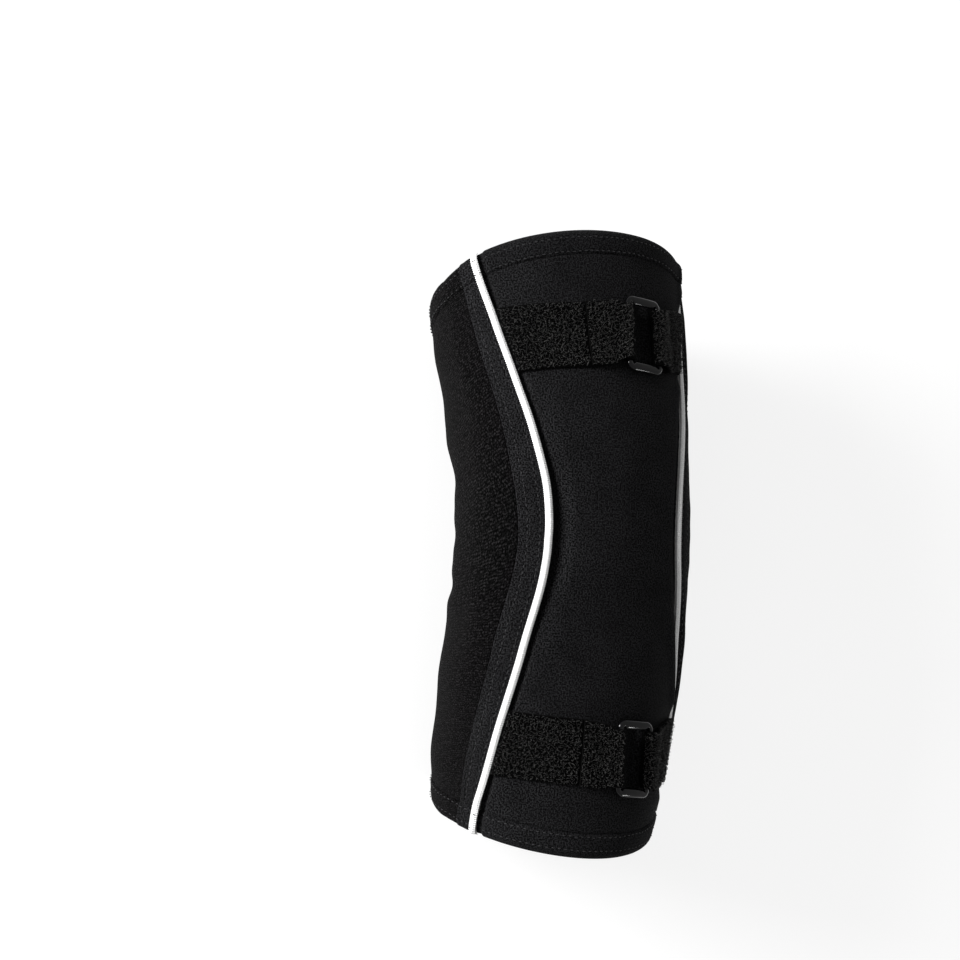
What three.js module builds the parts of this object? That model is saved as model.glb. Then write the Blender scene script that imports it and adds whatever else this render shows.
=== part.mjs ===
// Elbow brace: a bent neoprene sleeve with white piping, two pile straps and two strap rings.
// It lies on its back: the crook of the elbow is on the floor, the elbow side is up.
// Millimetres. +Z is up, +Y is the upper-arm end, +X is to the wearer's side where the ring loops are sewn.
// The origin is on the floor, midway between the two rims' furthest points.
import * as THREE from 'three';
import { mergeVertices } from 'three/addons/utils/BufferGeometryUtils.js';

// Sleeve
const half_length = 129.5; // from mid-length to the furthest point of each rim
const elbow_half_width = 52; // half of the sleeve's width at mid-length
const elbow_height = 87; // highest point above the floor, at mid-length
const crook_rise = 13; // how far the underside arches off the floor at mid-length
const underside_fullness = 2.5; // exponent of the underside's half ellipse: 2 is round, more is boxier
const wall = 5; // foam with its two faces
const upper_rim_setback = 42; // how far the upper rim falls back from elbow side to crook side
const lower_rim_setback = 25;
const rim_skew = 2; // both rims reach this much further on the ring loops' side, from the way the brace lies

// Hems, turned inwards and sewn
const hem_width = 10;
const hem_extra = 2; // added thickness of the turned layer
const rim_round = 4; // length over which the rim's edge is rounded
const rim_rounding = 0.42; // share of the hem's thickness that is rounded off each face at the rim

// Seams
const gap = 0.3; // between any two pieces that touch
const seam_dip = 1.3; // how far the front panel sinks at its sewn edge
const seam_dip_width = 4;
const elbow_dip = 3.4; // further sinking beside the elbow, where the panel's cup leaves the left seam
const elbow_dip_width = 10;
const elbow_dip_reach = 34; // length along the seam of that deeper stretch, to each side
const elbow_dip_middle = 4;
const lap_step = 0.8; // the side bands lie this much prouder than the crook panel beside them
const lap_step_width = 14;

// Piping: a flat folded ribbon with its sewn allowance in the seam
const piping_width = 3.8;
const piping_thickness = 1.3;
const piping_chamfer = 0.8;
const piping_overhang = 1; // part of the ribbon that stands out over the front panel's edge
const piping_allowance = 0.8; // thickness of the layers that go down into the seam

// Straps
const strap_width = 27;
const strap_thickness = 1.2; // woven tape, without the pile's height
const neck_length = 6; // over which a strap narrows to go through its ring
const strap_follow = 0.6; // share of the front panel's dip at the seam that a strap follows
const fold_ease = 0.35; // between a strap's fold and the bar in it
const loop_tab = 16; // length of the ring loop's folded-back layer from the bar
const loop_climb = 24; // length beyond the ring over which a ring loop climbs to where it is sewn in
const turn_fade = 12.5; // length beside the ring over which a strap takes up the ring's turn
const layer_gap = 0.25; // between a strap's two layers
const strap_step = 4.8; // length of a facet along a strap
const strap_rows = 4; // facets across a strap

// Strap rings
const ring_length = 31.5; // outside, across the strap
const ring_breadth = 18.5; // outside, along the strap
const ring_bar = 2.4; // diameter of the bar
const ring_end_width = 3.6; // the two short bars are moulded wider at their middle, towards the ring's inside
const ring_end_fade = 2; // length over which that widening fades, up to where the straps' folds begin
const ring_corner = 2.2; // radius of the bar's middle line at a corner
const ring_play = 0.5; // between a strap's edge and the ring's short bars

// Sections of the sleeve from the lower rim to the upper rim. at: share of half_length. half_width: share of
// elbow_half_width. widest: height of the widest level, share of elbow_height. crown: height of the elbow
// side, share of elbow_height. underside: share of crook_rise; below nought the cloth is pressed flat on the
// floor. piping, band: angles in degrees from the crown to the piping seam and to the crook panel's seam.
// twist: how much further round both seams lie on the ring loops' side, as the brace lies a little twisted.
const columns = ['at', 'half_width', 'widest', 'crown', 'underside', 'piping', 'band', 'twist'];
const sections = [
  [-1.0, 0.925, 0.28, 0.845, -0.25, 67.5, 79.5, 8],
  [-0.67, 0.985, 0.43, 0.89, -0.25, 57.2, 74.6, 9],
  [-0.33, 1.0, 0.565, 0.945, 0.15, 46.2, 65.3, 3],
  [0.0, 1.0, 0.615, 1.0, 1.0, 36.8, 54.4, 0],
  [0.33, 1.0, 0.575, 0.975, 0.15, 43.3, 61.7, 0.5],
  [0.67, 1.085, 0.45, 0.86, -0.25, 53.0, 69.4, 6],
  [1.0, 1.145, 0.335, 0.77, -0.25, 62.8, 76.0, 10],
].map((row) => Object.fromEntries(row.map((value, i) => [columns[i], value])));

// Creases across the crook panel. at: share of half_length. depth: share of the wall. breadth: share of
// half_length. lean: how far the crease drifts along the sleeve on its way round, share of half_length.
const creases = [
  { at: 0.15, depth: 0.62, breadth: 0.045, lean: -0.05 },
  { at: -0.11, depth: 0.5, breadth: 0.04, lean: 0.03 },
];
const crease_start = 100; // degrees from the crown where a crease begins, and where it has its full depth
const crease_full = 135;

// The two strap sets. at: where the strap crosses the crown, share of half_length. slope, bow: how it climbs
// towards its ring and bends. ring: the ring's middle, from the crown. turn: the ring's turn in degrees. tab:
// where the strap's folded-back end stops, from the crown. lift: how much further up the sleeve the ring loop
// is sewn in than the strap's line. All but the first and the turn are shares of strap_width.
const strapSets = [
  { name: 'upper', at: 0.656, slope: 0.02, bow: -0.04, ring: 0.525, turn: -5, tab: -0.445, lift: 0.075 },
  { name: 'lower', at: -0.667, slope: -0.12, bow: -0.008, ring: 0.437, turn: 2, tab: -0.463, lift: 0.222 },
].map((set) => ({
  ...set,
  bow: set.bow / strap_width,
  ring: set.ring * strap_width,
  tab: set.tab * strap_width,
  lift: set.lift * strap_width,
}));

const radians = Math.PI / 180;
const smooth = (from, to, value) => THREE.MathUtils.smoothstep(value, from, to);

// A smooth curve through one column of the section table, at a place along the sleeve.
function column(key, y) {
  const last = sections.length - 1;
  const place = THREE.MathUtils.clamp(y / half_length, -1.04, 1.04);
  let i = 0;
  while (i < last - 1 && place > sections[i + 1].at) i += 1;
  const slope = (k) => {
    const a = sections[Math.max(k - 1, 0)];
    const b = sections[Math.min(k + 1, last)];
    return (b[key] - a[key]) / (b.at - a.at);
  };
  const step = sections[i + 1].at - sections[i].at;
  const u = (place - sections[i].at) / step;
  return (
    sections[i][key] * (1 + 2 * u) * (1 - u) ** 2 +
    sections[i + 1][key] * u * u * (3 - 2 * u) +
    step * (slope(i) * u * (1 - u) ** 2 + slope(i + 1) * u * u * (u - 1))
  );
}

// How deep the creases are at a point of the crook panel.
function creaseDepth(y, angle) {
  const round = Math.acos(Math.cos(angle)) / radians;
  let depth = 0;
  for (const crease of creases) {
    const along = (crease.at + crease.lean * Math.sin(angle)) * half_length;
    const off = (y - along) / (crease.breadth * half_length);
    depth += crease.depth * wall * Math.exp(-off * off);
  }
  return depth * smooth(crease_start, crease_full, round);
}

// A point of the sleeve's main outer form: half an ellipse over the widest level, and a fuller half ellipse
// below it, pressed flat where it meets the floor. The angle is 0 at the crown and positive towards +X.
function form(y, angle) {
  const halfWidth = column('half_width', y) * elbow_half_width;
  const widest = column('widest', y) * elbow_height;
  const sine = Math.sin(angle);
  const cosine = Math.cos(angle);
  if (cosine >= 0) {
    const crown = column('crown', y) * elbow_height;
    return new THREE.Vector3(halfWidth * sine, y, widest + (crown - widest) * cosine);
  }
  const underside = column('underside', y) * crook_rise;
  const full = 2 / underside_fullness;
  return new THREE.Vector3(
    halfWidth * Math.sign(sine) * Math.abs(sine) ** full,
    y,
    Math.max(widest - (widest - underside) * Math.abs(cosine) ** full, 0),
  );
}

// The outward direction of the form, and how many mm a radian is worth round the sleeve.
function frameAt(y, angle) {
  const turn = 0.01;
  const step = 0.8;
  const round = form(y, angle + turn).sub(form(y, angle - turn));
  const along = form(y + step, angle).sub(form(y - step, angle));
  const out = round.clone().cross(along).normalize();
  return { out, speed: round.length() / (2 * turn) };
}

// A point at a height over the form; below nought is into the wall.
function onSleeve(y, angle, height) {
  const place = form(y, angle);
  return place.addScaledVector(frameAt(y, angle).out, height - creaseDepth(y, angle));
}

// The angle that lies a length in mm round the sleeve from the crown.
function angleAt(y, length) {
  const steps = 12;
  let angle = 0;
  for (let i = 0; i < steps; i += 1) {
    const half = angle + length / steps / 2 / frameAt(y, angle).speed;
    angle += length / steps / frameAt(y, half).speed;
  }
  return angle;
}

// The two seams' angles from the crown, on the left (side -1) or the right (side 1).
const twist = (y, side) => (side > 0 ? column('twist', y) : 0);
const pipingAngle = (y, side) => (column('piping', y) + twist(y, side)) * radians;
const bandAngle = (y, side) => (column('band', y) + twist(y, side)) * radians;
const mmAngle = (y, angle, length) => length / frameAt(y, angle).speed;
const seat = gap + piping_allowance + gap; // room for the piping's allowance between front panel and band

// The rims: furthest out at the crown, and set back at the crook.
const upperRim = (angle) =>
  half_length - (upper_rim_setback * (1 - Math.cos(angle))) / 2 + rim_skew * Math.sin(angle);
const lowerRim = (angle) =>
  -half_length + (lower_rim_setback * (1 - Math.cos(angle))) / 2 - rim_skew * Math.sin(angle);

// How far the front panel sinks towards its sewn edges.
function frontDip(y, angle) {
  const edge = pipingAngle(y, Math.sign(angle));
  const inside = Math.max((edge - Math.abs(angle)) * frameAt(y, edge).speed, 0);
  const near = Math.exp(-(((y - elbow_dip_middle) / elbow_dip_reach) ** 2));
  return (
    seam_dip * (1 - smooth(0, seam_dip_width, inside)) +
    (angle < 0 ? elbow_dip : 0) * near * (1 - smooth(0, elbow_dip_width, inside))
  );
}

// How far the crook panel lies below the side bands' level.
function crookDip(y, angle) {
  const edge = bandAngle(y, Math.sign(Math.sin(angle)));
  const inside = Math.max((Math.acos(Math.cos(angle)) - edge) * frameAt(y, edge).speed, 0);
  return lap_step * (1 - smooth(0, lap_step_width, inside));
}

// Rows from the lower to the upper rim: close together at the hems, even between them.
const rimRows = [0, 0.25 * rim_round, 0.6 * rim_round, rim_round, hem_width, hem_width + hem_extra];
const middleRows = 22;
function rowPlace(row, angle) {
  const count = rimRows.length;
  const low = lowerRim(angle);
  const high = upperRim(angle);
  const rows = 2 * count + middleRows - 1;
  if (row < count) return low + rimRows[row];
  if (row > rows - count) return high - rimRows[rows - row];
  const share = (row - count + 1) / (rows - 2 * count + 2);
  const inner = rimRows[count - 1];
  return low + inner + share * (high - low - 2 * inner);
}
const rowCount = 2 * rimRows.length + middleRows - 1;

// The wall's two faces at a distance from the nearer rim: how far each is rounded off, and the hem's layer.
function wallFaces(fromRim) {
  const short = THREE.MathUtils.clamp(fromRim / rim_round, 0, 1);
  const round = rim_rounding * (wall + hem_extra) * (1 - Math.sqrt(1 - (1 - short) ** 2));
  const hem = hem_extra * (1 - smooth(hem_width - hem_extra, hem_width + hem_extra, fromRim));
  return { outer: -round, inner: -(wall + hem) + round };
}

// Turns a mesh's faces out, and leaves only what a closed solid needs.
function solid(geometry) {
  geometry.deleteAttribute('normal');
  geometry.deleteAttribute('uv');
  const merged = mergeVertices(geometry, 1e-4);
  const place = merged.attributes.position;
  const index = merged.index.array;
  const a = new THREE.Vector3();
  const b = new THREE.Vector3();
  const c = new THREE.Vector3();
  let volume = 0;
  for (let i = 0; i < index.length; i += 3) {
    a.fromBufferAttribute(place, index[i]);
    b.fromBufferAttribute(place, index[i + 1]);
    c.fromBufferAttribute(place, index[i + 2]);
    volume += a.dot(b.cross(c)) / 6;
  }
  if (volume < 0) {
    for (let i = 0; i < index.length; i += 3) [index[i], index[i + 1]] = [index[i + 1], index[i]];
  }
  merged.computeVertexNormals();
  return merged;
}

// Moves every vertex of a flat geometry to its place on the brace.
function bend(geometry, toPlace) {
  const place = geometry.attributes.position;
  for (let i = 0; i < place.count; i += 1) {
    const p = toPlace(place.getX(i), place.getY(i), place.getZ(i));
    place.setXYZ(i, p.x, p.y, p.z);
  }
  return solid(geometry);
}

// A panel of the sleeve's wall between two seams: a box with rows along the sleeve and columns round it.
// The columns crowd towards the two seams by a share, so that the facets follow the dip there.
function panel(columns, fromAngle, toAngle, dip, crowd) {
  const box = new THREE.BoxGeometry(1, 1, 1, columns, rowCount, 1).translate(0.5, 0.5, 0.5);
  return bend(box, (round, along, out) => {
    const share = THREE.MathUtils.lerp(round, smooth(0, 1, round), crowd);
    const row = Math.round(along * rowCount);
    let angle = (fromAngle(0) + toAngle(0)) / 2;
    let y = 0;
    for (let i = 0; i < 6; i += 1) {
      y = rowPlace(row, angle);
      angle = THREE.MathUtils.lerp(fromAngle(y), toAngle(y), share);
    }
    const faces = wallFaces(Math.min(y - lowerRim(angle), upperRim(angle) - y));
    return onSleeve(y, angle, out > 0.5 ? faces.outer - dip(y, angle) : faces.inner);
  });
}

// The piping. Its section is drawn flat: along the surface from the seam towards the band, and up from it.
function piping(side) {
  const from = -piping_overhang;
  const to = piping_width - piping_overhang;
  const top = gap + piping_thickness;
  const lowEdge = gap + piping_thickness / 3;
  const highEdge = gap + (piping_thickness * 2) / 3;
  const section = new THREE.Shape();
  section.moveTo(from, lowEdge);
  section.lineTo(gap, gap);
  section.lineTo(gap, gap - wall);
  section.lineTo(gap + piping_allowance, gap - wall);
  section.lineTo(gap + piping_allowance, gap);
  section.lineTo(to, gap);
  section.lineTo(to, highEdge);
  section.lineTo(to - piping_chamfer, top);
  section.lineTo(from + piping_chamfer, top);
  section.lineTo(from, highEdge);
  const strip = new THREE.ExtrudeGeometry(section, {
    depth: rowCount,
    steps: rowCount,
    bevelEnabled: false,
  });
  return bend(strip, (across, up, row) => {
    let angle = side * pipingAngle(0, side);
    let y = 0;
    for (let i = 0; i < 6; i += 1) {
      y = rowPlace(Math.round(row), angle);
      const seam = pipingAngle(y, side);
      angle = side * (seam + mmAngle(y, seam, across));
    }
    const faces = wallFaces(Math.min(y - lowerRim(angle), upperRim(angle) - y));
    return onSleeve(y, angle, up + faces.outer);
  });
}

// Where a strap's middle line lies along the sleeve, at a length round from the crown.
function strapLine(set, along) {
  const past = set.ring + ring_breadth / 2 + strap_thickness;
  const lift = set.lift * smooth(past, past + loop_climb, along);
  return set.at * half_length + set.slope * along + set.bow * along * along + lift;
}

// A point over the front panel in strap coordinates: along the strap from the crown, across it, and up.
function onFront(set, along, across, up) {
  const y = strapLine(set, along) + across;
  const angle = angleAt(y, along);
  return onSleeve(y, angle, up - strap_follow * frontDip(y, angle));
}

// The same near a ring, turned with it: fully at the ring and not at all at the seams.
function atRing(set, along, across, up) {
  const away = Math.abs(along - set.ring);
  const fade = smooth(ring_breadth / 2, ring_breadth / 2 + turn_fade, away);
  const turn = set.turn * radians * (1 - fade);
  const x = along - set.ring;
  return onFront(
    set,
    set.ring + x * Math.cos(turn) - across * Math.sin(turn),
    x * Math.sin(turn) + across * Math.cos(turn),
    up,
  );
}

const barHeight = gap + strap_thickness + fold_ease + ring_bar / 2; // middle of the bar over the front panel
const barOff = (ring_breadth - ring_bar) / 2; // middle of the bar from the ring's middle
const foldHole = ring_bar / 2 + fold_ease;
const neck = ring_length - 2 * ring_bar - 2 * ring_play; // a strap's width in its ring
const foldReach = barOff - foldHole - strap_thickness; // from the ring's middle to the nearest fold

// A ring. Its bar is round on the long sides, and widens towards the ring's inside on the short ones.
function ring(set) {
  const halfLength = (ring_length - ring_bar) / 2;
  const path = new THREE.Path();
  path.moveTo(barOff, ring_corner - halfLength);
  path.absarc(barOff - ring_corner, halfLength - ring_corner, ring_corner, 0, Math.PI / 2);
  path.absarc(ring_corner - barOff, halfLength - ring_corner, ring_corner, Math.PI / 2, Math.PI);
  path.absarc(ring_corner - barOff, ring_corner - halfLength, ring_corner, Math.PI, 1.5 * Math.PI);
  path.absarc(barOff - ring_corner, ring_corner - halfLength, ring_corner, 1.5 * Math.PI, 2 * Math.PI);
  const sides = 8;
  const steps = 36;
  const torusRadius = 2 * ring_bar; // only larger than the bar: the torus is redrawn on the path
  const torus = new THREE.TorusGeometry(torusRadius, ring_bar / 2, sides, steps);
  return bend(torus, (x, y, z) => {
    const turn = (Math.atan2(y, x) / (2 * Math.PI) + 1) % 1;
    const point = path.getPointAt(turn);
    const tangent = path.getTangentAt(turn);
    const middle = 1 - smooth(foldReach - gap - ring_end_fade, foldReach - gap, Math.abs(point.x));
    const widening = (ring_end_width - ring_bar) * middle * Math.abs(tangent.x);
    const outwards = (Math.hypot(x, y) - torusRadius) * (1 + widening / ring_bar) - widening / 2;
    return atRing(
      set,
      set.ring + point.x + tangent.y * outwards,
      point.y - tangent.x * outwards,
      barHeight + z,
    );
  });
}

// The middle line of a folded strap seen from its edge: from its sewn end, round the ring's bar and back on
// top of itself to the tab's end. Each point is a place along the strap and a height over the front panel.
function foldedLine(sewn, bar, tab) {
  const line = [];
  const radius = foldHole + strap_thickness / 2;
  const low = gap + strap_thickness / 2;
  const top = low + strap_thickness + layer_gap;
  const toBar = Math.sign(bar - sewn);
  const clear = 0.1; // share of the way back that keeps its height, over the bar
  const settled = 0.6; // and the share at which the upper layer has come down on the lower one
  const dipSteps = 3;
  for (let i = 0; i < dipSteps; i += 1) {
    line.push(new THREE.Vector2(sewn + (toBar * seam_dip_width * i) / dipSteps, low));
  }
  const flat = sewn + toBar * seam_dip_width;
  const runs = Math.round(Math.abs(bar - flat) / strap_step);
  for (let i = 0; i < runs; i += 1) {
    line.push(new THREE.Vector2(THREE.MathUtils.lerp(flat, bar, i / runs), low));
  }
  const turns = 7;
  for (let i = 0; i < turns; i += 1) {
    const turn = (i / turns) * Math.PI;
    const past = toBar * radius * Math.sin(turn);
    line.push(new THREE.Vector2(bar + past, barHeight - radius * Math.cos(turn)));
  }
  const backs = Math.round(Math.abs(tab - bar) / strap_step) + 1;
  for (let i = 0; i <= backs; i += 1) {
    const rise = 1 - smooth(clear, settled, i / backs);
    const height = top + (barHeight + radius - top) * rise;
    line.push(new THREE.Vector2(THREE.MathUtils.lerp(bar, tab, i / backs), height));
  }
  return line;
}

// How far round the sleeve a piping seam lies from the crown.
function seamLength(y, side) {
  const edge = pipingAngle(y, side);
  const parts = 10;
  let length = 0;
  for (let i = 0; i < parts; i += 1) {
    length += (frameAt(y, ((i + 0.5) / parts) * edge).speed * edge) / parts;
  }
  return length;
}

// A folded strap between a seam and its ring, on the left (side -1) or the right. Its sewn end follows the
// slant of the seam, and it narrows to go through the ring.
function strap(set, side, tab) {
  const bar = set.ring + side * barOff;
  const crossing = side * seamLength(set.at * half_length, side);
  const middle = strapLine(set, crossing);
  const sewnAt = (y) => side * (seamLength(y, side) - piping_overhang - gap);
  const sewn = sewnAt(middle);
  const line = foldedLine(sewn, bar, tab);
  const columns = line.length - 1;
  const straight = 0.7; // share of the way to the bar at which the seam's slant has gone from the strap
  const sheet = new THREE.BoxGeometry(1, 1, 1, columns, strap_rows, 1).translate(0.5, 0.5, 0.5);
  return bend(sheet, (share, acrossShare, thick) => {
    const i = Math.round(share * columns);
    const before = line[Math.max(i - 1, 0)];
    const after = line[Math.min(i + 1, columns)];
    const way = after.clone().sub(before).normalize();
    const x = line[i].x - way.y * (thick - 0.5) * strap_thickness;
    const up = line[i].y + way.x * (thick - 0.5) * strap_thickness;
    const fromBar = Math.abs(x - bar) - foldHole - strap_thickness;
    const width = THREE.MathUtils.lerp(neck, strap_width, smooth(0, neck_length, fromBar));
    const across = (acrossShare - 0.5) * width;
    const atSeam = 1 - smooth(0, straight, Math.abs((x - sewn) / (bar - sewn)));
    const along = x + (sewnAt(middle + across) - sewn) * atSeam;
    return atRing(set, along, across, up);
  });
}

const finishes = {
  smoothKnit: { color: 0x1d1c1e, roughness: 0.85, metalness: 0 },
  ribbedKnit: { color: 0x1a191b, roughness: 0.95, metalness: 0 },
  whiteRibbon: { color: 0xf0f0ee, roughness: 0.7, metalness: 0 },
  pile: { color: 0x141314, roughness: 1, metalness: 0 },
  blackGloss: { color: 0x0a0a0b, roughness: 0.2, metalness: 0 },
};

const brace = new THREE.Group();
function add(name, geometry, finish) {
  const mesh = new THREE.Mesh(geometry, new THREE.MeshStandardMaterial(finishes[finish]));
  mesh.name = name;
  brace.add(mesh);
}

const none = () => 0;
const frontEdge = (y, side) => side * pipingAngle(y, side);
const bandStart = (y, side) => side * (pipingAngle(y, side) + mmAngle(y, pipingAngle(y, side), seat));
const bandEnd = (y, side) => side * (bandAngle(y, side) - mmAngle(y, bandAngle(y, side), gap / 2));
const crookEdge = (y, side) => side * (bandAngle(y, side) + mmAngle(y, bandAngle(y, side), gap / 2));
const onLeft = (edge) => (y) => edge(y, -1);
const onRight = (edge) => (y) => edge(y, 1);
const crookFarEdge = (y) => 2 * Math.PI + crookEdge(y, -1);

add('front_panel', panel(20, onLeft(frontEdge), onRight(frontEdge), frontDip, 0.7), 'smoothKnit');
add('left_side_band', panel(4, onLeft(bandEnd), onLeft(bandStart), none, 0), 'smoothKnit');
add('right_side_band', panel(4, onRight(bandStart), onRight(bandEnd), none, 0), 'smoothKnit');
add('crook_panel', panel(24, onRight(crookEdge), crookFarEdge, crookDip, 0.3), 'ribbedKnit');
add('left_piping', piping(-1), 'whiteRibbon');
add('right_piping', piping(1), 'whiteRibbon');
for (const set of strapSets) {
  add(`${set.name}_strap`, strap(set, -1, set.tab), 'pile');
  add(`${set.name}_ring`, ring(set), 'blackGloss');
  add(`${set.name}_ring_loop`, strap(set, 1, set.ring + barOff + loop_tab), 'pile');
}

export default brace;
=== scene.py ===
"""Looks of an elbow brace: a bent neoprene sleeve with white piping, two pile straps and two strap rings.

Shapes are worked out in millimetres, as whole arrays, from a place along the sleeve (y), an angle round it
from the crown and a height over its surface. They go into the meshes in metres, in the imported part's frame.
"""

import bpy
import numpy as np
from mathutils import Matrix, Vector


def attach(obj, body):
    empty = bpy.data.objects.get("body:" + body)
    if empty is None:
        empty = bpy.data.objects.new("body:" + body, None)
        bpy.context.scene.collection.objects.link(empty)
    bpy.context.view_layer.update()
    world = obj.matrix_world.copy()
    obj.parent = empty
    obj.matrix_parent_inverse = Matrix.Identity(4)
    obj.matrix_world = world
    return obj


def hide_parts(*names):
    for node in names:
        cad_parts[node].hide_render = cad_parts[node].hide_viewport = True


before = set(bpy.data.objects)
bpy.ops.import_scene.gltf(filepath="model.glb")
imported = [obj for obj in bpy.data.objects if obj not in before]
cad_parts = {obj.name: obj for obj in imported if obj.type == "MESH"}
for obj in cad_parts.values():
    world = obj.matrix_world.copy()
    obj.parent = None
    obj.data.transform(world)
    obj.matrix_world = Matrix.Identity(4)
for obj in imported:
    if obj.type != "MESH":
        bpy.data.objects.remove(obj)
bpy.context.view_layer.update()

# The front panel, over the elbow: foam with a smooth jersey face, narrow at mid-length and wide at both ends.
# Its ends are turned in and sewn as hems. Its long edges are sewn down in the piping seams, so they lie deeper.

MM = 0.001
HALF_LENGTH = 129.5  # from mid-length to the furthest point of each rim
ELBOW_HALF_WIDTH = 52.0
ELBOW_HEIGHT = 87.0
CROOK_RISE = 13.0
UNDERSIDE_FULLNESS = 2.5
WALL = 5.0
UPPER_SETBACK, LOWER_SETBACK = 42.0, 25.0  # of the rims, from the elbow side to the crook side
RIM_SKEW = 2.0
HEM_WIDTH = 10.0
HEM_EXTRA = 2.0
RIM_ROUND = 4.0
GAP = 0.3  # between two pieces that touch
ROUNDS = 6  # rounds of finding a place and an angle that depend on each other

# Sections of the sleeve, as shares of HALF_LENGTH, ELBOW_HALF_WIDTH, ELBOW_HEIGHT twice and CROOK_RISE, then
# the angles in degrees from the crown to the piping seam and to the crook panel's seam, and how much further
# round both lie on the right, because the brace lies a little twisted.
COLUMNS = ("at", "half_width", "widest", "crown", "underside", "piping", "band", "twist")
SECTIONS = dict(zip(COLUMNS, np.array([
    (-1.00, 0.925, 0.280, 0.845, -0.25, 67.5, 79.5, 8.0),
    (-0.67, 0.985, 0.430, 0.890, -0.25, 57.2, 74.6, 9.0),
    (-0.33, 1.000, 0.565, 0.945, 0.15, 46.2, 65.3, 3.0),
    (0.00, 1.000, 0.615, 1.000, 1.00, 36.8, 54.4, 0.0),
    (0.33, 1.000, 0.575, 0.975, 0.15, 43.3, 61.7, 0.5),
    (0.67, 1.085, 0.450, 0.860, -0.25, 53.0, 69.4, 6.0),
    (1.00, 1.145, 0.335, 0.770, -0.25, 62.8, 76.0, 10.0),
]).T))

# Creases across the crook: place, drift on the way round and breadth as shares of HALF_LENGTH, depth of WALL.
CREASES = ((0.15, -0.05, 0.045, 0.62), (-0.11, 0.03, 0.040, 0.50))


def smooth(start, end, value):
    """0 before start, 1 after end, and 3t^2 - 2t^3 of the share t of the way between them."""
    t = np.clip((value - start) / (end - start), 0, 1)
    return t * t * (3 - 2 * t)


def bell(off, breadth):
    """Bell curve: e to the power of minus the square of off over breadth."""
    return np.exp(-((off / breadth) ** 2))


def curve(at, value, place):
    """Cubic Hermite curve through a table; the slope at a row is that between its two neighbours."""
    last = len(at) - 1
    before = np.maximum(np.arange(last + 1) - 1, 0)
    after = np.minimum(np.arange(last + 1) + 1, last)
    slope = (value[after] - value[before]) / (at[after] - at[before])
    i = np.clip(np.searchsorted(at, place) - 1, 0, last - 1)
    step = at[i + 1] - at[i]
    u = (place - at[i]) / step
    ends = value[i] * (1 + 2 * u) * (1 - u) ** 2 + value[i + 1] * u * u * (3 - 2 * u)
    return ends + step * (slope[i] * u * (1 - u) ** 2 + slope[i + 1] * u * u * (u - 1))


def section(name, y):
    """A column of SECTIONS, read at a place along the sleeve."""
    return curve(SECTIONS["at"], SECTIONS[name], np.clip(y / HALF_LENGTH, -1.04, 1.04))


def sleeve_form(y, angle):
    """Half an ellipse above the widest level, and half a superellipse below it, pressed flat on the floor."""
    y, angle = np.broadcast_arrays(np.asarray(y, float), np.asarray(angle, float))
    sine, cosine = np.sin(angle), np.cos(angle)
    widest = section("widest", y) * ELBOW_HEIGHT
    crown = section("crown", y) * ELBOW_HEIGHT
    underside = section("underside", y) * CROOK_RISE
    full = 2 / UNDERSIDE_FULLNESS
    above = cosine >= 0
    reach = np.where(above, sine, np.sign(sine) * np.abs(sine) ** full)
    below = np.maximum(widest - (widest - underside) * np.abs(cosine) ** full, 0)
    z = np.where(above, widest + (crown - widest) * cosine, below)
    return np.stack([section("half_width", y) * ELBOW_HALF_WIDTH * reach, y, z], -1)


def sleeve_out(y, angle):
    """The form's outward direction, the cross product of its two slopes, and how many mm a radian is worth."""
    turn, step = 0.01, 0.8
    across = sleeve_form(y, angle + turn) - sleeve_form(y, angle - turn)
    along = sleeve_form(y + step, angle) - sleeve_form(y - step, angle)
    out = np.cross(across, along)
    out /= np.linalg.norm(out, axis=-1, keepdims=True)
    return out, np.linalg.norm(across, axis=-1) / (2 * turn)


def crease_depth(y, angle):
    """Sum of bell curves across the creases, faded in from 100 to 135 degrees round from the crown."""
    depth = 0.0
    for place, drift, breadth, deep in CREASES:
        off = y / HALF_LENGTH - place - drift * np.sin(angle)
        depth = depth + deep * WALL * bell(off, breadth)
    return depth * smooth(100, 135, np.degrees(np.arccos(np.cos(angle))))


def on_sleeve(y, angle, height):
    """The form's point, moved out along its outward direction by a height less the creases' depth."""
    lift = height - crease_depth(y, angle)
    return sleeve_form(y, angle) + sleeve_out(y, angle)[0] * lift[..., None]


# How the sewn left piping strays from its drawn line: places along the sleeve in mm, and degrees further round.
STRAY_Y, STRAY = np.array([
    (-130, 0), (-118, 0.4), (-108, 1.3), (-99, 0.5), (-85, 0), (-66, 0), (-50, -0.7), (-34, -0.5), (-17, -0.4),
    (-7, 0), (1, 0.3), (9, -0.2), (22, -1.0), (34, -0.5), (46, 0), (60, 0.5), (78, 0.3), (90, 0.5), (102, 1.3),
    (112, 1.4), (130, 0.3),
]).T


def seam_angle(name, y, side):
    """A seam's angle from the crown. A side over nought is the right, where the twist is added; on the left the
    piping strays."""
    left = curve(STRAY_Y, STRAY, np.clip(y, STRAY_Y[0], STRAY_Y[-1])) * (name == "piping")
    return np.radians(section(name, y) + np.where(side > 0, section("twist", y), left))


def mm_angle(y, angle, length):
    """The angle that a length round the sleeve spans: the length over the mm that a radian is worth."""
    return length / sleeve_out(y, angle)[1]


def upper_rim(angle):
    """The upper rim's y: furthest at the crown and set back towards the crook as a cosine, with a skew."""
    return HALF_LENGTH - UPPER_SETBACK * (1 - np.cos(angle)) / 2 + RIM_SKEW * np.sin(angle)


def lower_rim(angle):
    """The lower rim's y, made in the same way with its own setback."""
    return -HALF_LENGTH + LOWER_SETBACK * (1 - np.cos(angle)) / 2 - RIM_SKEW * np.sin(angle)


def rim_distance(y, angle):
    """Distance along the sleeve to the nearer rim."""
    return np.minimum(y - lower_rim(angle), upper_rim(angle) - y)


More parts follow.
